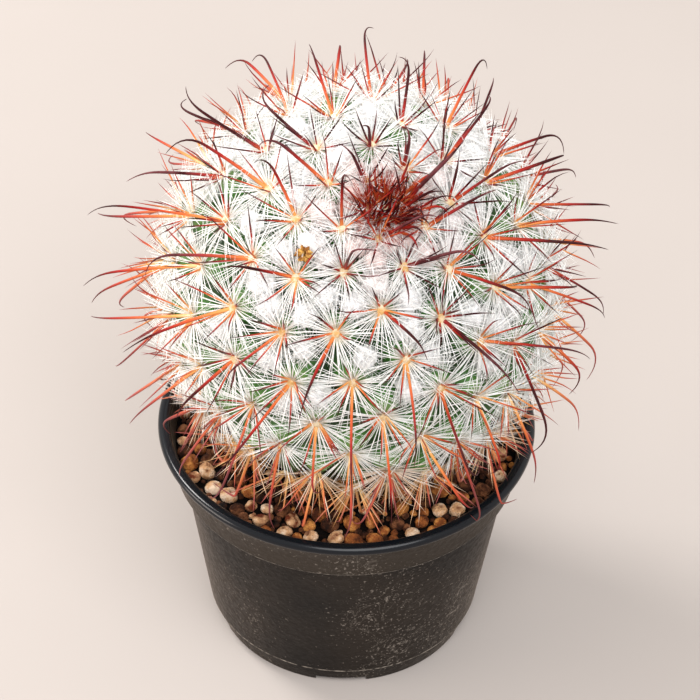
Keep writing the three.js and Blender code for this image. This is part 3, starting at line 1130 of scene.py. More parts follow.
@dataclass
class NurseryPot:
    """The moulded pot: a tapered wall, a stepped collar with a rolled bead, and a notched foot ring."""

    effects: Effects
    finish: PlasticFinish = PlasticFinish()
    sides: int = 256
    height: float = 58.8
    rim: float = 45.0
    bead_width: float = 2.9
    bead_height: float = 2.2
    collar_top: float = 43.1
    step: float = 41.4
    step_height: float = 46.8
    step_depth: float = 1.9
    step_inside: Span = (0.9, 1.6)
    ledge: float = 33.6
    ledge_height: float = 5.6
    ledge_depth: float = 0.6
    foot: float = 31.8
    foot_width: float = 2.6
    foot_round: float = 0.4
    edge_round: float = 0.25
    underside: float = 2.0
    floor: float = 3.5
    wall: float = 1.3
    openings: int = 5
    notch_width: float = 12.4
    notch_height: float = 1.5
    drain_radius: float = 3.0
    drain_circle: float = 21.0
    drain_sides: int = 36
    cut_depth: float = 8.0
    sharp_angle: float = 38.0

    def build(self) -> list[Piece]:
        """Makes the pot.

        Returns:
            The one piece.
        """
        pot = MeshDraft().add(*revolve(self._profile(), self.sides)).build(
            "pot_shell", self.dress(), "pot_plastic", "pot"
        )
        self._cut(pot)
        pot.data.set_sharp_from_angle(angle=math.radians(self.sharp_angle))
        return [pot]

    def dress(self) -> Material:
        """Makes the pot's material, with its scuffed edges."""
        rings = (self.height - self.bead_height - 0.1, self.step_height + 0.15, self.ledge_height)
        return self.finish.make(self.effects, rings, self.height - self.bead_height)

    def _wall_at(self, z: float) -> float:
        """The outside radius of the plain wall at a height."""
        t = (z - self.ledge_height) / (self.step_height - self.ledge_height)
        return mix(self.ledge, self.step - self.step_depth, t)

    @staticmethod
    def _arc(x: float, z: float, radius: float, start: float, end: float, steps: int) -> list[list[float]]:
        """An arc in the profile.

        Args:
            x: its middle's distance from the axis.
            z: its middle's height.
            radius: its radius.
            start: its first angle, in degrees.
            end: its last angle, in degrees.
            steps: the number of its points.

        Returns:
            The points.
        """
        angles = np.radians(np.linspace(start, end, steps))
        return [[x + radius * math.cos(a), z + radius * math.sin(a)] for a in angles]

    def _profile(self) -> np.ndarray:
        """Draws the pot's section.

        Returns:
            [radius, height] rows from the underside's middle, up the outside and down the inside.
        """
        arc, wall_at, soft, edge = self._arc, self._wall_at, self.foot_round, self.edge_round
        bead_foot = self.height - self.bead_height
        bead_inner = self.rim - self.bead_width
        outer = wall_at(self.step_height)
        inner_foot = self.foot - self.foot_width
        above_floor = self.floor + 2
        straight = np.linspace(self.ledge_height + 0.4, self.step_height - 0.3, 14)
        return np.array([
            [0, self.underside],
            [inner_foot - 0.8, self.underside],
            *arc(inner_foot + soft, soft, soft, 180, 270, 4),
            *arc(self.foot - soft, soft, soft, 270, 352, 4),
            [self.ledge - self.ledge_depth, self.ledge_height - 0.35],
            *arc(self.ledge - edge, self.ledge_height - 0.1, edge, -60, 20, 5),
            *([wall_at(z), z] for z in straight),
            [outer, self.step_height - 0.1],
            *arc(self.step - edge, self.step_height + 0.3, edge, -70, 5, 5),
            [mix(self.step, self.collar_top, 0.5), mix(self.step_height, bead_foot, 0.5)],
            [self.collar_top, bead_foot - 0.25],
            [self.collar_top + 0.2, bead_foot],
            *arc(self.rim - 0.9, bead_foot + 0.9, 0.9, -85, 0, 8),
            *arc(self.rim - 1.2, self.height - 1.2, 1.2, 0, 90, 10),
            *arc(bead_inner + 1.0, self.height - 1.0, 1.0, 90, 180, 8),
            [bead_inner, bead_foot],
            [self.step - self.wall, self.step_height + self.step_inside[1]],
            [outer - self.wall, self.step_height + self.step_inside[0]],
            [wall_at(above_floor) - self.wall, above_floor],
            [wall_at(above_floor) - self.wall - 1.4, self.floor],
            [0, self.floor],
        ], float)

    def _cut(self, pot: Piece) -> None:
        """Cuts the notches of the foot ring and the drain holes.

        Args:
            pot: the pot, whose mesh is replaced.
        """
        cutter = bmesh.new()
        depth, drain = self.cut_depth * MM, self.drain_radius * MM
        box = Matrix.Diagonal((self.notch_width * MM, depth, self.notch_height * 2 * MM, 1))
        notch = Matrix.Translation((0, -self.foot * MM, 0))
        hole = Matrix.Translation((0, -self.drain_circle * MM, self.floor * MM))
        for i in range(self.openings):
            turn, half = (Matrix.Rotation((i + more) * TAU / self.openings, 4, "Z") for more in (0, 0.5))
            bmesh.ops.create_cube(cutter, size=1, matrix=turn @ notch @ box)
            bmesh.ops.create_cone(
                cutter, cap_ends=True, segments=self.drain_sides,
                radius1=drain, radius2=drain, depth=depth, matrix=half @ hole,
            )
        bmesh.ops.recalc_face_normals(cutter, faces=cutter.faces)
        mesh = bpy.data.meshes.new("cutter")
        cutter.to_mesh(mesh)
        cutter.free()
        tool = bpy.data.objects.new("cutter", mesh)
        bpy.context.scene.collection.objects.link(tool)
        cut = pot.modifiers.new("openings", "BOOLEAN")
        cut.operation, cut.solver, cut.object = "DIFFERENCE", "EXACT", tool
        bpy.context.view_layer.update()
        done = bpy.data.meshes.new_from_object(pot.evaluated_get(bpy.context.evaluated_depsgraph_get()))
        old = pot.data
        pot.modifiers.clear()
        pot.data = done
        bpy.data.meshes.remove(old)
        bpy.data.objects.remove(tool)


# ---------------------------------------------------------------- grit


class GritColour(Enum):
    """The kinds of granule in the top dressing, each with its finish and its share of the granules."""

    CREAM = (GranuleFinish("grit_cream", dark="6a2f17", body="dcab7d", pale="f6dcc0"), 0.22)
    OCHRE = (GranuleFinish("grit_ochre", dark="4a2310", body="965528", pale="d8934c"), 0.32)
    BROWN = (GranuleFinish("grit_brown", dark="0c0503", body="42210f", pale="7c4e31"), 0.46)

    def __init__(self, finish: GranuleFinish, share: float) -> None:
        """Names the kind's two values."""
        self.finish, self.share = finish, share


@dataclass(frozen=True)
class Handful:
    """Granules of one size: their radii, how many, how closely they may lie and how far up."""

    radii: Span
    wanted: int
    room: float
    layer: float


@dataclass
class GritBed:
    """Loose rounded granules over a dark fine mix that fills the pot, made near black as painted shade."""

    effects: Effects
    earth: MottledFinish = EARTH_DARKENED_AS_SHADE
    handfuls: tuple[Handful, ...] = (
        Handful((1.95, 2.45), 125, 0.93, 0.0),
        Handful((1.4, 1.9), 110, 0.88, 0.15),
        Handful((0.6, 1.25), 420, 0.72, 0.25),
    )
    tries: int = 6000
    crumb: float = 1.3
    edge_height: float = 52.9
    dome: float = 0.6
    dome_radius: float = 45.0
    highest: float = 57.0
    outer: float = 41.5
    inner: float = 17.0
    big: float = 1.9
    front_from: float = 33.0
    front_half: float = 24.0
    pit_share: float = 0.75
    pit_tilt: float = 0.35
    pit_edge: Span = (0.12, 0.46)
    pit_depth: float = 0.34
    bed_sides: int = 180
    unevenness: float = 0.35
    seed: int = 11

    def build(self) -> list[Piece]:
        """Makes the fine mix and the granules of each kind.

        Returns:
            The pieces.
        """
        pieces = [self._build_bed()]
        drafts = {kind: MeshDraft() for kind in GritColour}
        ball, small = icosphere(3), icosphere(2)
        for n, (x, y, radius, layer) in enumerate(self._throw()):
            kind = self._kind(n, x, y, radius)
            points, faces = ball if radius > self.crumb else small
            shaped, pit = self._pebble(points, n, radius, kind is GritColour.CREAM)
            z = self._surface(math.hypot(x, y)) + layer + radius * 0.5
            top = self.highest - shaped[:, 2].max()
            drafts[kind].add(shaped + [x, y, min(z, top)], faces, tint=draw(n, 61), pit=pit)
        for kind, draft in drafts.items():
            pieces.append(draft.build(kind.finish.name, self.dress(kind.finish), "grit", "soil"))
        return pieces

    def dress(self, finish: GranuleFinish | MottledFinish) -> Material:
        """Makes the material of the fine mix or of a kind of granule."""
        return finish.make(self.effects)

    def _surface(self, radius: float) -> float:
        """The height of the fine mix at a distance from the pot's axis."""
        return self.edge_height + self.dome * (1 - (radius / self.dome_radius) ** 2)

    def _kind(self, n: int, x: float, y: float, radius: float) -> GritColour:
        """Picks the kind of a granule: crumbs are mostly brown, and big cream ones lie by the front rim.

        Args:
            n: its number.
            x: its place across.
            y: its place from front to back.
            radius: its size.

        Returns:
            The kind.
        """
        roll = draw(n, 60) if radius > self.crumb else draw(n, 60) ** 0.4
        if radius > self.big and y < -self.front_from and abs(x) < self.front_half:
            roll *= 0.45
        cream, ochre = GritColour.CREAM, GritColour.OCHRE
        if roll < cream.share:
            return cream
        return ochre if roll < cream.share + ochre.share else GritColour.BROWN

    def _throw(self) -> list[tuple[float, float, float, float]]:
        """Places the granules: big ones first, then smaller ones in the gaps and on top.

        Returns:
            For each granule its x and y, its radius and how far it lies over the fine mix.
        """
        rng = np.random.default_rng(self.seed)
        placed: list[tuple[float, float, float, float]] = []
        for handful in self.handfuls:
            left = handful.wanted
            for _ in range(self.tries):
                if left == 0:
                    break
                radius = rng.uniform(*handful.radii)
                reach = math.sqrt(rng.uniform(self.inner**2, (self.outer - radius) ** 2))
                turn = rng.uniform(0, 2 * math.pi)
                x, y = reach * math.cos(turn), reach * math.sin(turn)
                room = handful.room
                if all((x - a) ** 2 + (y - b) ** 2 > (room * (radius + r)) ** 2 for a, b, r, _ in placed):
                    placed.append((x, y, radius, handful.layer))
                    left -= 1
        return placed

    def _pebble(
        self, ball: np.ndarray, n: int, radius: float, pitted: bool
    ) -> tuple[np.ndarray, np.ndarray]:
        """Shapes one granule.

        Args:
            ball: the points of a sphere of radius 1.
            n: the granule's number.
            radius: its size.
            pitted: whether it may have a pit in its top.

        Returns:
            Its points about its middle, and how deep in its pit each lies.
        """
        rng = np.random.default_rng(self.seed * 1000 + n)
        shape = rng.uniform(0.82, 1.0, 3) * [1, 1, 0.8]
        rough = 0.075 * lumps(ball, self.seed + n, 6, 1.7) + 0.03 * lumps(ball, self.seed + n + 9, 12, 0.5)
        points = ball * shape * (1 + rough)[:, None]
        pit = np.zeros(len(ball))
        if pitted and draw(n, 62) < self.pit_share:
            way = unit(np.array([rng.normal() * self.pit_tilt, rng.normal() * self.pit_tilt, 1.0]))
            off = np.arccos(np.clip(unit(points) @ way, -1, 1))
            pit = 1 - smoothstep(off, *self.pit_edge)
            points *= (1 - self.pit_depth * pit)[:, None]
        spin = Matrix.Rotation(rng.uniform(0, 6.3), 3, "Z") @ Matrix.Rotation(rng.uniform(-0.6, 0.6), 3, "X")
        points = points @ np.array(spin).T
        reach = np.hypot(points[:, 0], points[:, 1]).max()
        return points * (radius / max(reach, 1e-6)), pit

    def _build_bed(self) -> Piece:
        """Makes the fine mix that fills the pot, with the hole that the root crown stands in.

        Returns:
            The piece.
        """
        profile = [
            [0, 3.8], [30.9, 3.8], [31.9, 5.7], [37.9, 47.7], [39.8, 48.5], [40.9, 52.9],
            *[[r, self._surface(r)] for r in np.linspace(40.4, 16.0, 40)],
            [14.6, self._surface(14.6) - 0.6], [14.3, 42.0], [0, 42.0],
        ]
        points, faces = revolve(np.array(profile, float), self.bed_sides)
        # Only the top surface is uneven: not the wall under the rim, and not the hole's edge.
        off_hole = smoothstep(np.hypot(points[:, 0], points[:, 1]), 14.8, 16)
        top = smoothstep(points[:, 2], 52.0, 54.0) * off_hole
        points[:, 2] += self.unevenness * top * lumps(points, self.seed, 24, 3.5)
        return MeshDraft().add(points, faces).build("fine_mix", self.dress(self.earth), "grit", "soil")


# ---------------------------------------------------------------- cactus


@dataclass
class CactusGlobe:
    """The green body with its tubercles, the felt of its areoles and the root crown under it."""

    effects: Effects
    spiral: Spiral
    skin: SkinFinish = SkinFinish()
    felt: MottledFinish = FELT
    valley: float = 5.0
    tip: float = 0.16
    sunk: float = 0.35
    grain: float = 0.12
    cushion: float = 1.2
    lowest_felt: float = 57.0
    corky_and_shade_below: float = 76.0
    crown: tuple[Span, ...] = ((0, 42.5), (12.6, 42.5), (13.6, 43.4), (13.9, 50), (13.2, 66), (0, 66))

    def build(self) -> list[Piece]:
        """Makes the body and its areoles.

        Returns:
            The pieces.
        """
        return [self._build_body(), self._build_felt()]

    def dress(self, finish: SkinFinish | MottledFinish) -> Material:
        """Makes the material of the skin or of the felt."""
        return finish.make(self.effects)

    def _build_body(self) -> Piece:
        """Makes the globe, sunk between the tubercles, and the root crown.

        Returns:
            The piece.
        """
        ball, faces = icosphere(7)
        share, spacing = self.spiral.valley(ball)
        depth = self.valley * np.minimum(1, spacing / math.sqrt(self.spiral.growth.cell))
        fall = smoothstep(share, self.tip, 1.0)
        radius = self.spiral.reach(ball) - self.sunk - depth * fall + self.grain * lumps(ball, 5, 30, 0.12)
        points = self.spiral.centre + ball * radius[:, None]
        draft = MeshDraft()
        # Below this height the skin darkens: partly cork, partly painted shade under the globe.
        draft.add(points, faces, rise=1 - fall, low=smoothstep(self.corky_and_shade_below - points[:, 2], 0, 9))
        draft.add(*revolve(np.array(self.crown, float), 64), rise=0.0, low=1.0)
        return draft.build("cactus_body", self.dress(self.skin), "cactus_skin", "cactus")

    def _build_felt(self) -> Piece:
        """Makes a low woolly cushion on every tubercle's tip.

        Returns:
            The piece.
        """
        ball, faces = icosphere(3)
        draft = MeshDraft()
        for areole in self.spiral.areoles:
            if areole.place[2] < self.lowest_felt:
                continue
            size = self.cushion * mix(0.55, 1.0, areole.growth)
            local = ball * (1 + 0.12 * lumps(ball, areole.index, 9, 0.7))[:, None]
            local = local * [size * 1.15, size * 0.9, size * 0.5]
            draft.add(areole.place + local @ np.array([areole.away, areole.side, areole.normal]), faces)
        return draft.build("areole_felt", self.dress(self.felt), "wool", "cactus")


class BristleLayer(Enum):
    """The layers of a star: bristles, lean in degrees, length and heights of its areoles in millimetres."""

    OUTER = ("radial_spines", 56, (64.0, 86.0), (9.8, 13.0), (77.0, 200.0))
    INNER = ("inner_radials", 26, (44.0, 66.0), (6.5, 10.0), (77.0, 200.0))
    STRAW = ("straw_bristles", 26, (25.0, 86.0), (6.5, 13.0), (53.0, 79.5))

    def __init__(self, piece: str, count: int, leans: Span, lengths: Span, heights: Span) -> None:
        """Names the layer's values."""
        self.piece, self.count = piece, count
        self.leans, self.lengths, self.heights = leans, lengths, heights


@dataclass
class RadialSpines:
    """The fine white bristles, in a flat star round every areole."""

    effects: Effects
    spiral: Spiral
    finish: BristleFinish = BristleFinish()
    thickness: float = 0.14
    straw_thickening: float = 1.2
    fading_from: float = 82.5
    lowest: float = 56.4
    scatter: float = 0.09
    straw_scatter: float = 1.5
    curl: Span = (-2.0, 14.0)
    foot_out: float = 0.7
    foot_up: float = 0.1
    folded: float = 0.35
    unfolding: Span = (1.0, 14.0)
    segments: int = 4
    seed: int = 21

    def build(self) -> list[Piece]:
        """Makes each layer of bristles as one piece."""
        material = self.dress()
        return [self._build_layer(layer, material) for layer in BristleLayer]

    def dress(self) -> Material:
        """Makes the bristles' material."""
        return self.finish.make(self.effects)

    def _build_layer(self, layer: BristleLayer, material: Material) -> Piece:
        """Makes one layer of every areole's star.

        Args:
            layer: the layer.
            material: the bristles' material.

        Returns:
            The piece.
        """
        rng = np.random.default_rng(self.seed + layer.count)
        straw = layer is BristleLayer.STRAW
        paths, radii, old = [], [], []
        for areole in self.spiral.areoles:
            if not layer.heights[0] < areole.place[2] < layer.heights[1]:
                continue
            paths.append(self._star(areole, layer, rng))
            radius = self.thickness * mix(0.7, 1.0, areole.growth) * rng.uniform(0.8, 1.15, (layer.count, 1))
            radius = radius * (self.straw_thickening if straw else 1.0)
            radii.append(radius * np.linspace(1.0, 0.5, self.segments))
            low = 1.0 if straw else float(smoothstep(self.fading_from - areole.place[2], 0, 8))
            old.append(low * rng.uniform(0.5, 1.0, layer.count))
        courses = np.concatenate(paths)
        points, faces, along = strands(courses, np.concatenate(radii), 3)
        ages = np.repeat(np.concatenate(old), len(points) // len(courses))
        return MeshDraft().add(points, faces, along=along, old=ages).build(
            layer.piece, material, "spine_white", "cactus"
        )

    def _star(self, areole: Areole, layer: BristleLayer, rng: np.random.Generator) -> np.ndarray:
        """Traces one layer of one areole's bristles, which unfold as the areole grows.

        Args:
            areole: the areole.
            layer: the layer.
            rng: the layer's random numbers.

        Returns:
            The course of each bristle.
        """
        count = layer.count
        turn = even_turns(count) + rng.uniform(-self.scatter, self.scatter, count) + draw(areole.index, 90)
        if layer is BristleLayer.STRAW:
            turn = rng.uniform(-self.straw_scatter, self.straw_scatter, count)
        lean = np.radians(rng.uniform(*layer.leans, count))
        unfolded = mix(self.folded, 1, float(smoothstep(areole.index, *self.unfolding)))
        length = rng.uniform(*layer.lengths, count) * areole.growth**0.8 * unfolded
        t = np.linspace(0, 1, self.segments + 1)
        bend = lean[:, None] + np.radians(rng.uniform(*self.curl, count))[:, None] * t[None]
        step = (length / self.segments)[:, None]
        start = np.zeros((count, 1))
        out = np.hstack([start, np.cumsum(np.sin(bend[:, 1:]) * step, axis=1)]) + self.foot_out
        up = np.hstack([start, np.cumsum(np.cos(bend[:, 1:]) * step, axis=1)]) + self.foot_up
        sideways = np.outer(np.cos(turn), areole.away) + np.outer(np.sin(turn), areole.side)
        star = areole.place + out[:, :, None] * sideways[:, None] + up[:, :, None] * areole.normal
        reach = np.hypot(star[..., 0], star[..., 1])
        star[..., :2] *= (np.minimum(reach, ROOM.reach - 0.5) / np.maximum(reach, 1e-6))[..., None]
        lowest = self.lowest + 0.5 * rng.uniform(size=(count, 1))
        star[..., 2] = np.clip(star[..., 2], lowest, ROOM.headroom)
        return star


class SpineRank(Enum):
    """The ranks of centrals: the piece, the radius at the base in millimetres and the sides."""

    LONG = ("long_centrals", 0.38, 6)
    SHORT = ("short_centrals", 0.24, 5)
    YOUNG = ("young_tuft", 0.33, 5)

    def __init__(self, piece: str, radius: float, sides: int) -> None:
        """Names the rank's values."""
        self.piece, self.radius, self.sides = piece, radius, sides


@dataclass
class CentralSpines:
    """The horny centrals: a long hooked one and several short straight ones to an areole."""

    effects: Effects
    spiral: Spiral
    finish: HornFinish = HornFinish()
    lowest_long: float = 63.0
    lowest_short: float = 58.0
    short_fewest: int = 5
    short_extra: int = 3
    short_leans: Span = (22.0, 64.0)
    first_leans: Span = (14.0, 44.0)
    short_lengths: Span = (8.0, 15.0)
    tuft: int = 120
    tuft_lengths: Span = (3.0, 6.2)
    hooked_lengths: Span = (8.5, 14.0)
    hooked_share: float = 0.45
    tuft_spread: float = 5.0
    tuft_way: tuple[float, float, float] = (0.32, 0.2, 0.26)
    tuft_colours: float = 0.62
    fringe: int = 340
    fringe_ring: Span = (0.2, 1.25)
    fringe_leans: Span = (24.0, 62.0)
    fringe_lengths: Span = (3.5, 6.5)
    fringe_shifts: Span = (0.28, 0.5)
    fringe_radius: float = 0.11
    fringe_colours: float = 0.3
    fringe_seed: int = 41

    def build(self) -> list[Piece]:
        """Makes the long ones and the short ones, each as one piece, and the young ones at the top.

        Returns:
            The pieces.
        """
        material = self.dress()
        ranks = {SpineRank.LONG: self._long, SpineRank.SHORT: self._short, SpineRank.YOUNG: self._tuft}
        pieces = [self._raise(rank, material, *trace()) for rank, trace in ranks.items()]
        return [*pieces, self._build_fringe(material)]

    def dress(self) -> Material:
        """Makes the centrals' material."""
        return self.finish.make(self.effects)

    def _long(self) -> tuple[np.ndarray, list[Areole]]:
        """Traces the long hooked central of every areole.

        Returns:
            The courses, and the areole that each grows from.
        """
        grown = [a for a in self.spiral.areoles if a.index > 2 and a.place[2] > self.lowest_long]
        return np.array([self._long_course(areole).trace(areole) for areole in grown]), grown

    @staticmethod
    def _long_course(areole: Areole) -> Course:
        """Works out how an areole's long central runs.

        Args:
            areole: the areole.

        Returns:
            The course.
        """
        n = areole.index
        lean, swing = mix(24, 50, areole.age), 120 * (draw(n, 5) - 0.5)
        if n in NOTED:
            turn, length, hook, *own = NOTED[n]
            lean, swing = own or (lean, swing)
        else:
            turn = 56 * (draw(n, 1) - 0.5)
            length = mix(14, mix(21, 29, draw(n, 3)), areole.age)
            hook = mix(120, 20, areole.age) + 70 * draw(n, 4)
            lean += 16 * (draw(n, 2) - 0.5)
        return Course(turn, lean, length, back=2.5, hook=hook, swing=swing, bow=12.0)

    def _short(self) -> tuple[np.ndarray, list[Areole]]:
        """Traces the short straight centrals, spread round the upper side of every areole.

        Returns:
            The courses, and the areole that each grows from.
        """
        courses, owners = [], []
        for areole in self.spiral.areoles:
            n = areole.index
            if areole.place[2] < self.lowest_short or n < 2:
                continue
            for k in range(self.short_fewest + int(self.short_extra * draw(n, 50))):
                course = Course(
                    turn=180 + (draw(n, 6) - 0.5) * 60 + (k - 1.2) * 62,
                    lean=(
                        mix(*self.short_leans, draw(n, 51 + 7 * k)) if k
                        else mix(*self.first_leans, draw(n, 7))
                    ),
                    length=mix(*self.short_lengths, draw(n, 55 + 7 * k)) * mix(0.8, 1.0, areole.growth),
                    hook=30 * draw(n, 59 + 7 * k) ** 2,
                    swing=360 * draw(n, 63 + 7 * k),
                )
                courses.append(course.trace(areole)[:: COURSE_STEPS // 8])
                owners.append(areole)
        return np.array(courses), owners

    def _tuft(self) -> tuple[np.ndarray, list[Areole]]:
        """Traces the young spines that stand close together at the growing point.

        Some at the outside of one flank are longer and hooked already.

        Returns:
            The courses, and the spot that each grows from.
        """
        growth = self.spiral.growth
        courses, owners = [], []
        for n in range(self.tuft):
            out = self.tuft_spread * math.sqrt((n + 0.5) / self.tuft)
            sideways = self.spiral.outwards(math.radians(n * growth.angle))
            foot = unit(self.spiral.axis + sideways * out / growth.reach)
            place = self.spiral.centre + foot * (growth.reach - 0.8)
            normal = unit(foot + self.tuft_way)
            away = unit(sideways - normal * (sideways @ normal))
            outside = out > 0.5 * self.tuft_spread
            hooked = sideways[0] > 0.2 and outside and draw(n, 45) < self.hooked_share
            spot = Areole(n, place, normal, away, np.cross(normal, away), 4.0, 0.3 if hooked else 0.0)
            course = Course(
                turn=(50 if hooked else 100) * (draw(n, 41) - 0.5),
                lean=2 + 34 * (out / self.tuft_spread) ** 1.4,
                length=mix(*(self.hooked_lengths if hooked else self.tuft_lengths), draw(n, 42)),
                hook=mix(40, 110, draw(n, 43)) if hooked else -40 * draw(n, 43) ** 2,
                swing=(60 if hooked else 120) * (draw(n, 44) - 0.5),
                offset=0.0,
            )
            courses.append(course.trace(spot)[:: COURSE_STEPS // 12])
            owners.append(spot)
        return np.array(courses), owners

    def _build_fringe(self, material: Material) -> Piece:
        """Makes the fine red bristles that spread out low round the tuft.

        Args:
            material: the centrals' material.

        Returns:
            The piece.
        """
        rng = np.random.default_rng(self.fringe_seed)
        count, reach, segments = self.fringe, self.spiral.growth.reach, 5
        turn = rng.uniform(0, 2 * np.pi, count)
        out = self.tuft_spread * rng.uniform(*self.fringe_ring, count)
        sideways = np.outer(np.cos(turn), self.spiral.across) + np.outer(np.sin(turn), self.spiral.along)
        foot = unit(self.spiral.axis + sideways * (out / reach)[:, None])
        lean = np.radians(rng.uniform(*self.fringe_leans, count))[:, None]
        heading = unit(foot * np.cos(lean) + unit(sideways + 0.5 * np.array(self.tuft_way)) * np.sin(lean))
        length = rng.uniform(*self.fringe_lengths, count)
        t = np.linspace(0, 1, segments + 1)
        start = self.spiral.centre + foot * (reach - 0.6)
        courses = start[:, None] + heading[:, None] * (length[:, None] * t)[..., None]
        courses += foot[:, None] * (0.12 * length[:, None] * t**2)[..., None]
        radii = self.fringe_radius * np.linspace(1, 0.6, segments) * np.ones((count, 1))
        points, faces, along = strands(courses, radii, 3)
        shift = np.repeat(rng.uniform(*self.fringe_shifts, count), len(points) // count)
        return MeshDraft().add(
            points, faces, along=along * self.fringe_colours, shift=shift, scurf=0.0, old=0.0
        ).build("young_fringe", material, "spine_red", "cactus")

    def _looks(self, rank: SpineRank, i: int, total: int, areole: Areole) -> tuple[float, ...]:
        """Works out the looks of one central: the younger, the sooner it turns maroon along its length.

        Args:
            rank: its rank.
            i: its number.
            total: how many there are in its rank.
            areole: the areole that it grows from.

        Returns:
            Its vigour, how much sooner it darkens, its scurf and how far it has faded.
        """
        vigour = mix(0.82, 1.12, draw(i, 71))
        if rank is SpineRank.YOUNG:
            shift = mix(0.42, 0.2, i / total) + mix(-0.14, 0.1, draw(i, 75)) + 0.4 * areole.age
            return vigour * (1 + areole.age), shift, 0.0, 0.0
        # About a quarter of the areoles have darker spines than their neighbours.
        some_darker = 0.22 if draw(areole.index, 76) < 0.28 else 0.0
        shift = some_darker + 0.12 * (1 - areole.age) + 0.2 * float(smoothstep(70 - areole.index, 0, 35))
        shift += 0.26 * (draw(i, 72) - 0.5)
        scurf = 0.9 * draw(i, 73) ** 2
        # Spines fade with age, and wholly near the grit.
        worn = 0.6 * float(smoothstep(areole.index, 45, 100))
        faded = max(worn, float(smoothstep(82 - areole.place[2], 0, 12))) * mix(0.55, 1.0, draw(i, 74))
        if rank is SpineRank.SHORT:
            return vigour, shift - 0.1, scurf, faded
        return vigour * mix(1.3, 1.0, areole.age), shift, 0.7 if areole.index < 14 else scurf, faded

    def _raise(self, rank: SpineRank, material: Material, courses: np.ndarray, owners: list[Areole]) -> Piece:
        """Makes one piece of spines, thick at the base and drawn out to a point.

        Args:
            rank: which centrals these are.
            material: their material.
            courses: the course of each spine.
            owners: the areole that each grows from.

        Returns:
            The piece.
        """
        looks = [self._looks(rank, i, len(owners), areole) for i, areole in enumerate(owners)]
        vigour, *tones = np.array(looks).T
        steps = courses.shape[1] - 1
        t = np.arange(steps) / steps
        swollen_foot = 1 + 0.3 * (1 - smoothstep(t, 0.05, 0.25))
        taper = swollen_foot * (1 - 0.3 * t) * (1 - 0.72 * smoothstep(t, 0.6, 1.0))
        points, faces, along = strands(courses, rank.radius * vigour[:, None] * taper, rank.sides)
        along = along * (self.tuft_colours if rank is SpineRank.YOUNG else 1.0)
        each = len(points) // len(courses)
        values = {name: np.repeat(tone, each) for name, tone in zip(("shift", "scurf", "old"), tones)}
        return MeshDraft().add(points, faces, along=along, **values).build(
            rank.piece, material, "spine_red", "cactus"
        )


@dataclass
class Wool:
    """White wool in the valleys between the upper tubercles, thinning downwards."""

    effects: Effects
    spiral: Spiral
    finish: WoolFinish = WoolFinish()
    bare: float = 6.0
    spread: float = 68.0
    thinning: Span = (1.12, 0.7)
    scatter: Span = (0.85, 1.12)
    sunk: float = 1.5
    stain: float = 0.5
    stained_to: float = 27.0
    stain_fade: float = 14.0
    fibres: int = 120
    thickness: float = 0.065
    seed: int = 31

    def build(self) -> list[Piece]:
        """Makes the puffs and their loose fibres, pinker towards the growing point.

        Returns:
            The pieces.
        """
        rng = np.random.default_rng(self.seed)
        ball, faces = icosphere(3)
        puffs = MeshDraft()
        paths, pinks = [], []
        for way in self._valleys():
            angle = self.spiral.angle_from_apex(way)
            if not self.bare < angle < self.spread or rng.uniform() > 1.25 - angle / self.spread:
                continue
            spacing = float(self.spiral.valley(way[None])[1][0])
            thinned = mix(*self.thinning, angle / self.spread)
            size = (0.28 * spacing + 0.3) * thinned * rng.uniform(*self.scatter)
            drop = self.sunk * min(1.0, spacing / 12)
            middle = self.spiral.centre + way * (self.spiral.reach(way[None])[0] - drop)
            local = ball * (0.9 + 0.12 * lumps(ball, int(rng.integers(1 << 30)), 12, 0.8))[:, None] * size
            stain = self.stain * float(smoothstep(self.stained_to - angle, 0, self.stain_fade))
            puffs.add(middle + local, faces, pink=stain)
            paths.append(self._fibres(middle, size, way, rng))
            pinks += [stain] * self.fibres
        courses = np.concatenate(paths)
        radii = np.full((len(courses), courses.shape[1] - 1), self.thickness)
        points, strand_faces, _ = strands(courses, radii, 3)
        loose = MeshDraft().add(points, strand_faces, pink=np.repeat(pinks, len(points) // len(courses)))
        material = self.dress()
        return [
            draft.build(name, material, "wool", "cactus")
            for name, draft in (("axil_wool", puffs), ("wool_fibres", loose))
        ]

    def dress(self) -> Material:
        """Makes the wool's material."""
        return self.finish.make(self.effects)

    def _valleys(self) -> np.ndarray:
        """Finds the low points between three tubercles, as the faces of the hull of the areoles.

        Returns:
            Their directions, nearest to the growing point first.
        """
        hull = bmesh.new()
        for normal in self.spiral.normals:
            hull.verts.new(normal)
        bmesh.ops.convex_hull(hull, input=hull.verts)
        middles = np.array([unit(np.sum([v.co[:] for v in f.verts], axis=0)) for f in hull.faces])
        hull.free()
        return middles[np.argsort(-(middles @ self.spiral.axis) + 1e-6 * middles[:, 0])]

    def _fibres(
        self, middle: np.ndarray, size: float, way: np.ndarray, rng: np.random.Generator
    ) -> np.ndarray:
        """Traces the curly fibres that leave a puff.

        Args:
            middle: the puff's middle.
            size: its radius.
            way: its direction from the globe's centre.
            rng: the wool's random numbers.

        Returns:
            The course of each fibre.
        """
        starts = unit(rng.normal(size=(self.fibres, 3)) + 0.9 * way)
        bends = unit(np.cross(starts, rng.normal(size=(self.fibres, 3))))
        length = size * rng.uniform(0.8, 1.9, self.fibres)[:, None]
        t = np.linspace(0, 1, 4)
        curl = rng.uniform(1.0, 3.4, self.fibres)[:, None]
        forward = np.sin(curl * t) / curl
        across = (1 - np.cos(curl * t)) / curl
        course = starts[:, None] * (forward * length)[..., None]
        course += bends[:, None] * (across * length)[..., None]
        return middle + starts[:, None] * size * 0.72 + course


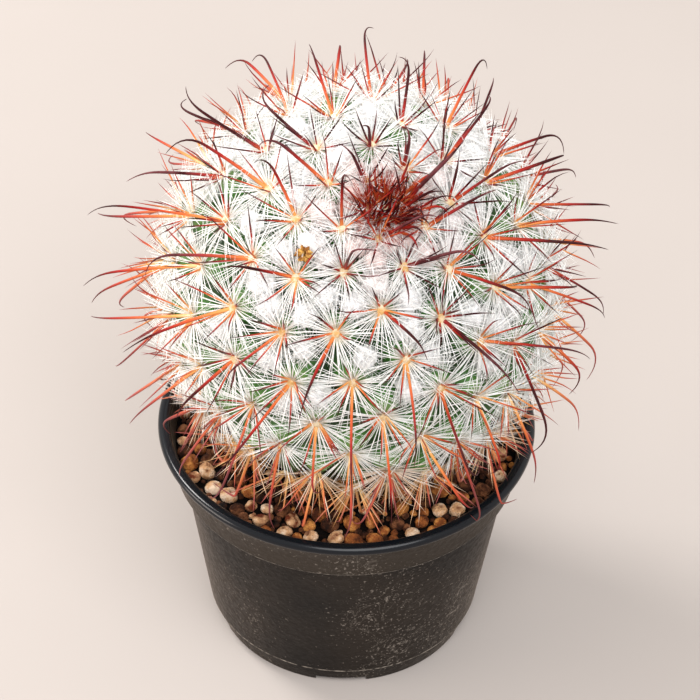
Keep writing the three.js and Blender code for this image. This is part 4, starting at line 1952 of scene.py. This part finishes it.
@dataclass
class FlowerRemnant:
    """The dried husk of a flower, caught between the spines near the top."""

    effects: Effects
    spiral: Spiral
    finish: MottledFinish = HUSK
    near: int = 20
    lobes: int = 9
    length: float = 3.6
    off_away: float = 5.4
    off_side: float = 2.0
    raised: float = 0.2
    widths: tuple[float, ...] = (0.4, 0.5, 0.6, 0.65, 0.6, 0.55, 0.45, 0.3)

    def build(self) -> list[Piece]:
        """Makes the husk: a shrunken tube with curled papery lobes.

        Returns:
            The one piece.
        """
        areole = self.spiral.areoles[self.near]
        t = np.linspace(0, 1, len(self.widths) + 1)[:, None]
        paths, radii = [], []
        for k in range(self.lobes):
            turn = k * 2 * math.pi / self.lobes + draw(k, 81)
            out = areole.sideways(turn)
            rise = np.sin(t * mix(2.0, 2.7, draw(k, 82))) * self.length * mix(0.7, 1, draw(k, 83))
            paths.append(areole.normal * rise + out * (0.3 + 1.7 * t) + areole.side * np.sin(t * 5 + k) * 0.2)
            radii.append(np.array(self.widths) * mix(0.8, 1.2, draw(k, 84)))
        base = areole.place - areole.away * self.off_away - areole.side * self.off_side
        base = base + areole.normal * self.raised
        points, faces, _ = strands(np.array(paths) + base, np.array(radii), 6)
        return [MeshDraft().add(points, faces).build("flower_husk", self.dress(), "wool", "cactus")]

    def dress(self) -> Material:
        """Makes the husk's material."""
        return self.finish.make(self.effects)


# ---------------------------------------------------------------- studio


@dataclass(frozen=True)
class Lamp:
    """A round soft light that points at the plant: its place and size in metres, power and tint."""

    name: str
    place: tuple[float, float, float]
    size: float
    power: float
    tint: str

    def build(self, target: Vector) -> None:
        """Makes the light.

        Args:
            target: where it points.
        """
        lamp = bpy.data.lights.new(self.name, "AREA")
        lamp.shape, lamp.size, lamp.energy = "DISK", self.size, self.power
        lamp.color = paint(self.tint)[:3]
        light = bpy.data.objects.new(self.name, lamp)
        light.location = self.place
        light.rotation_euler = (target - light.location).to_track_quat("-Z", "Y").to_euler()
        bpy.context.scene.collection.objects.link(light)


@dataclass
class Studio:
    """A plain pale surface, soft daylight from the left and behind, and the photo's camera.

    The camera's distance and target are in millimetres and its angles in degrees.
    """

    distance: float = 600.0
    elevation: float = 41.0
    lens: float = 132.2
    sensor: float = 36.0
    nearest: float = 0.01
    target_x: float = 0.44
    target_z: float = 79.6
    roll: float = 1.25
    floor_half: float = 3.0
    floor_tones: tuple[str, str] = ("a49d98", "a8a19c")
    sky: str = "f9f5f2"
    sky_strength: float = 1.03
    lamps: tuple[Lamp, ...] = (
        Lamp("key", (-0.75, 0.45, 1.0), 0.42, 14.2, "fffbf8"),
        Lamp("fill", (0.25, -0.95, 1.28), 1.3, 26.0, "fbfbfd"),
        Lamp("side", (-1.1, -0.25, 0.2), 0.7, 9.5, "fff3ea"),
    )

    def build(self) -> None:
        """Makes the floor, the lights, the sky and the camera."""
        self._floor()
        for lamp in self.lamps:
            lamp.build(Vector((0, 0, self.target_z * MM)))
        world = bpy.data.worlds.new("daylight")
        world.use_nodes = True
        background = world.node_tree.nodes["Background"]
        background.inputs["Color"].default_value = paint(self.sky)
        background.inputs["Strength"].default_value = self.sky_strength
        bpy.context.scene.world = world
        bpy.context.scene.view_settings.view_transform = "Standard"
        self._camera()

    def dress(self) -> Material:
        """Makes the material of the pale surface.

        Returns:
            The material.
        """
        shader = Shader("pale_surface")
        colour = shader.blend(shader.noise(shader.place(), 14.0, 2.0), *self.floor_tones)
        return shader.finish(colour, 0.85, Specular_IOR_Level=0.2)

    def _floor(self) -> None:
        """Makes the pale surface that the pot stands on."""
        mesh = bpy.data.meshes.new("surface")
        far = self.floor_half
        corners = [(-far, -far, 0), (far, -far, 0), (far, far, 0), (-far, far, 0)]
        mesh.from_pydata(corners, [], [(0, 1, 2, 3)])
        mesh.materials.append(self.dress())
        floor = bpy.data.objects.new("surface", mesh)
        bpy.context.scene.collection.objects.link(floor)
        floor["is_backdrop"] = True

    def _camera(self) -> None:
        """Makes the camera, at the photo's viewing angle."""
        elevation, roll = math.radians(self.elevation), math.radians(self.roll)
        forward = Vector((0, math.cos(elevation), -math.sin(elevation)))
        level = Vector((1, 0, 0))
        upwards = Vector((0, math.sin(elevation), math.cos(elevation)))
        right = level * math.cos(roll) + upwards * math.sin(roll)
        up = upwards * math.cos(roll) - level * math.sin(roll)
        back, over = self.distance * math.cos(elevation), self.distance * math.sin(elevation)
        place = Vector((self.target_x, -back, self.target_z + over))
        camera = bpy.data.objects.new("camera", bpy.data.cameras.new("camera"))
        camera.data.lens = self.lens
        camera.data.sensor_width = self.sensor
        camera.data.clip_start = self.nearest
        rows = [(right[i], up[i], -forward[i], place[i] * MM) for i in range(3)]
        camera.matrix_world = Matrix([*rows, (0, 0, 0, 1)])
        bpy.context.scene.collection.objects.link(camera)
        bpy.context.scene.camera = camera


# ---------------------------------------------------------------- the whole


def main() -> tuple:
    """Loads the frame and builds every piece round it.

    Returns:
        The bounds of the frame's own solids.
    """
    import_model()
    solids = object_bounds()
    effects = Effects()
    spiral = Spiral(Growth())
    for assembly in (
        NurseryPot(effects),
        GritBed(effects),
        CactusGlobe(effects, spiral),
        RadialSpines(effects, spiral),
        CentralSpines(effects, spiral),
        Wool(effects, spiral),
        FlowerRemnant(effects, spiral),
    ):
        for piece in assembly.build():
            log.info("%s: %d faces", piece.name, len(piece.data.polygons))
    Studio().build()
    return solids


if __name__ == "__main__":
    logging.basicConfig(level=logging.INFO)
    main()
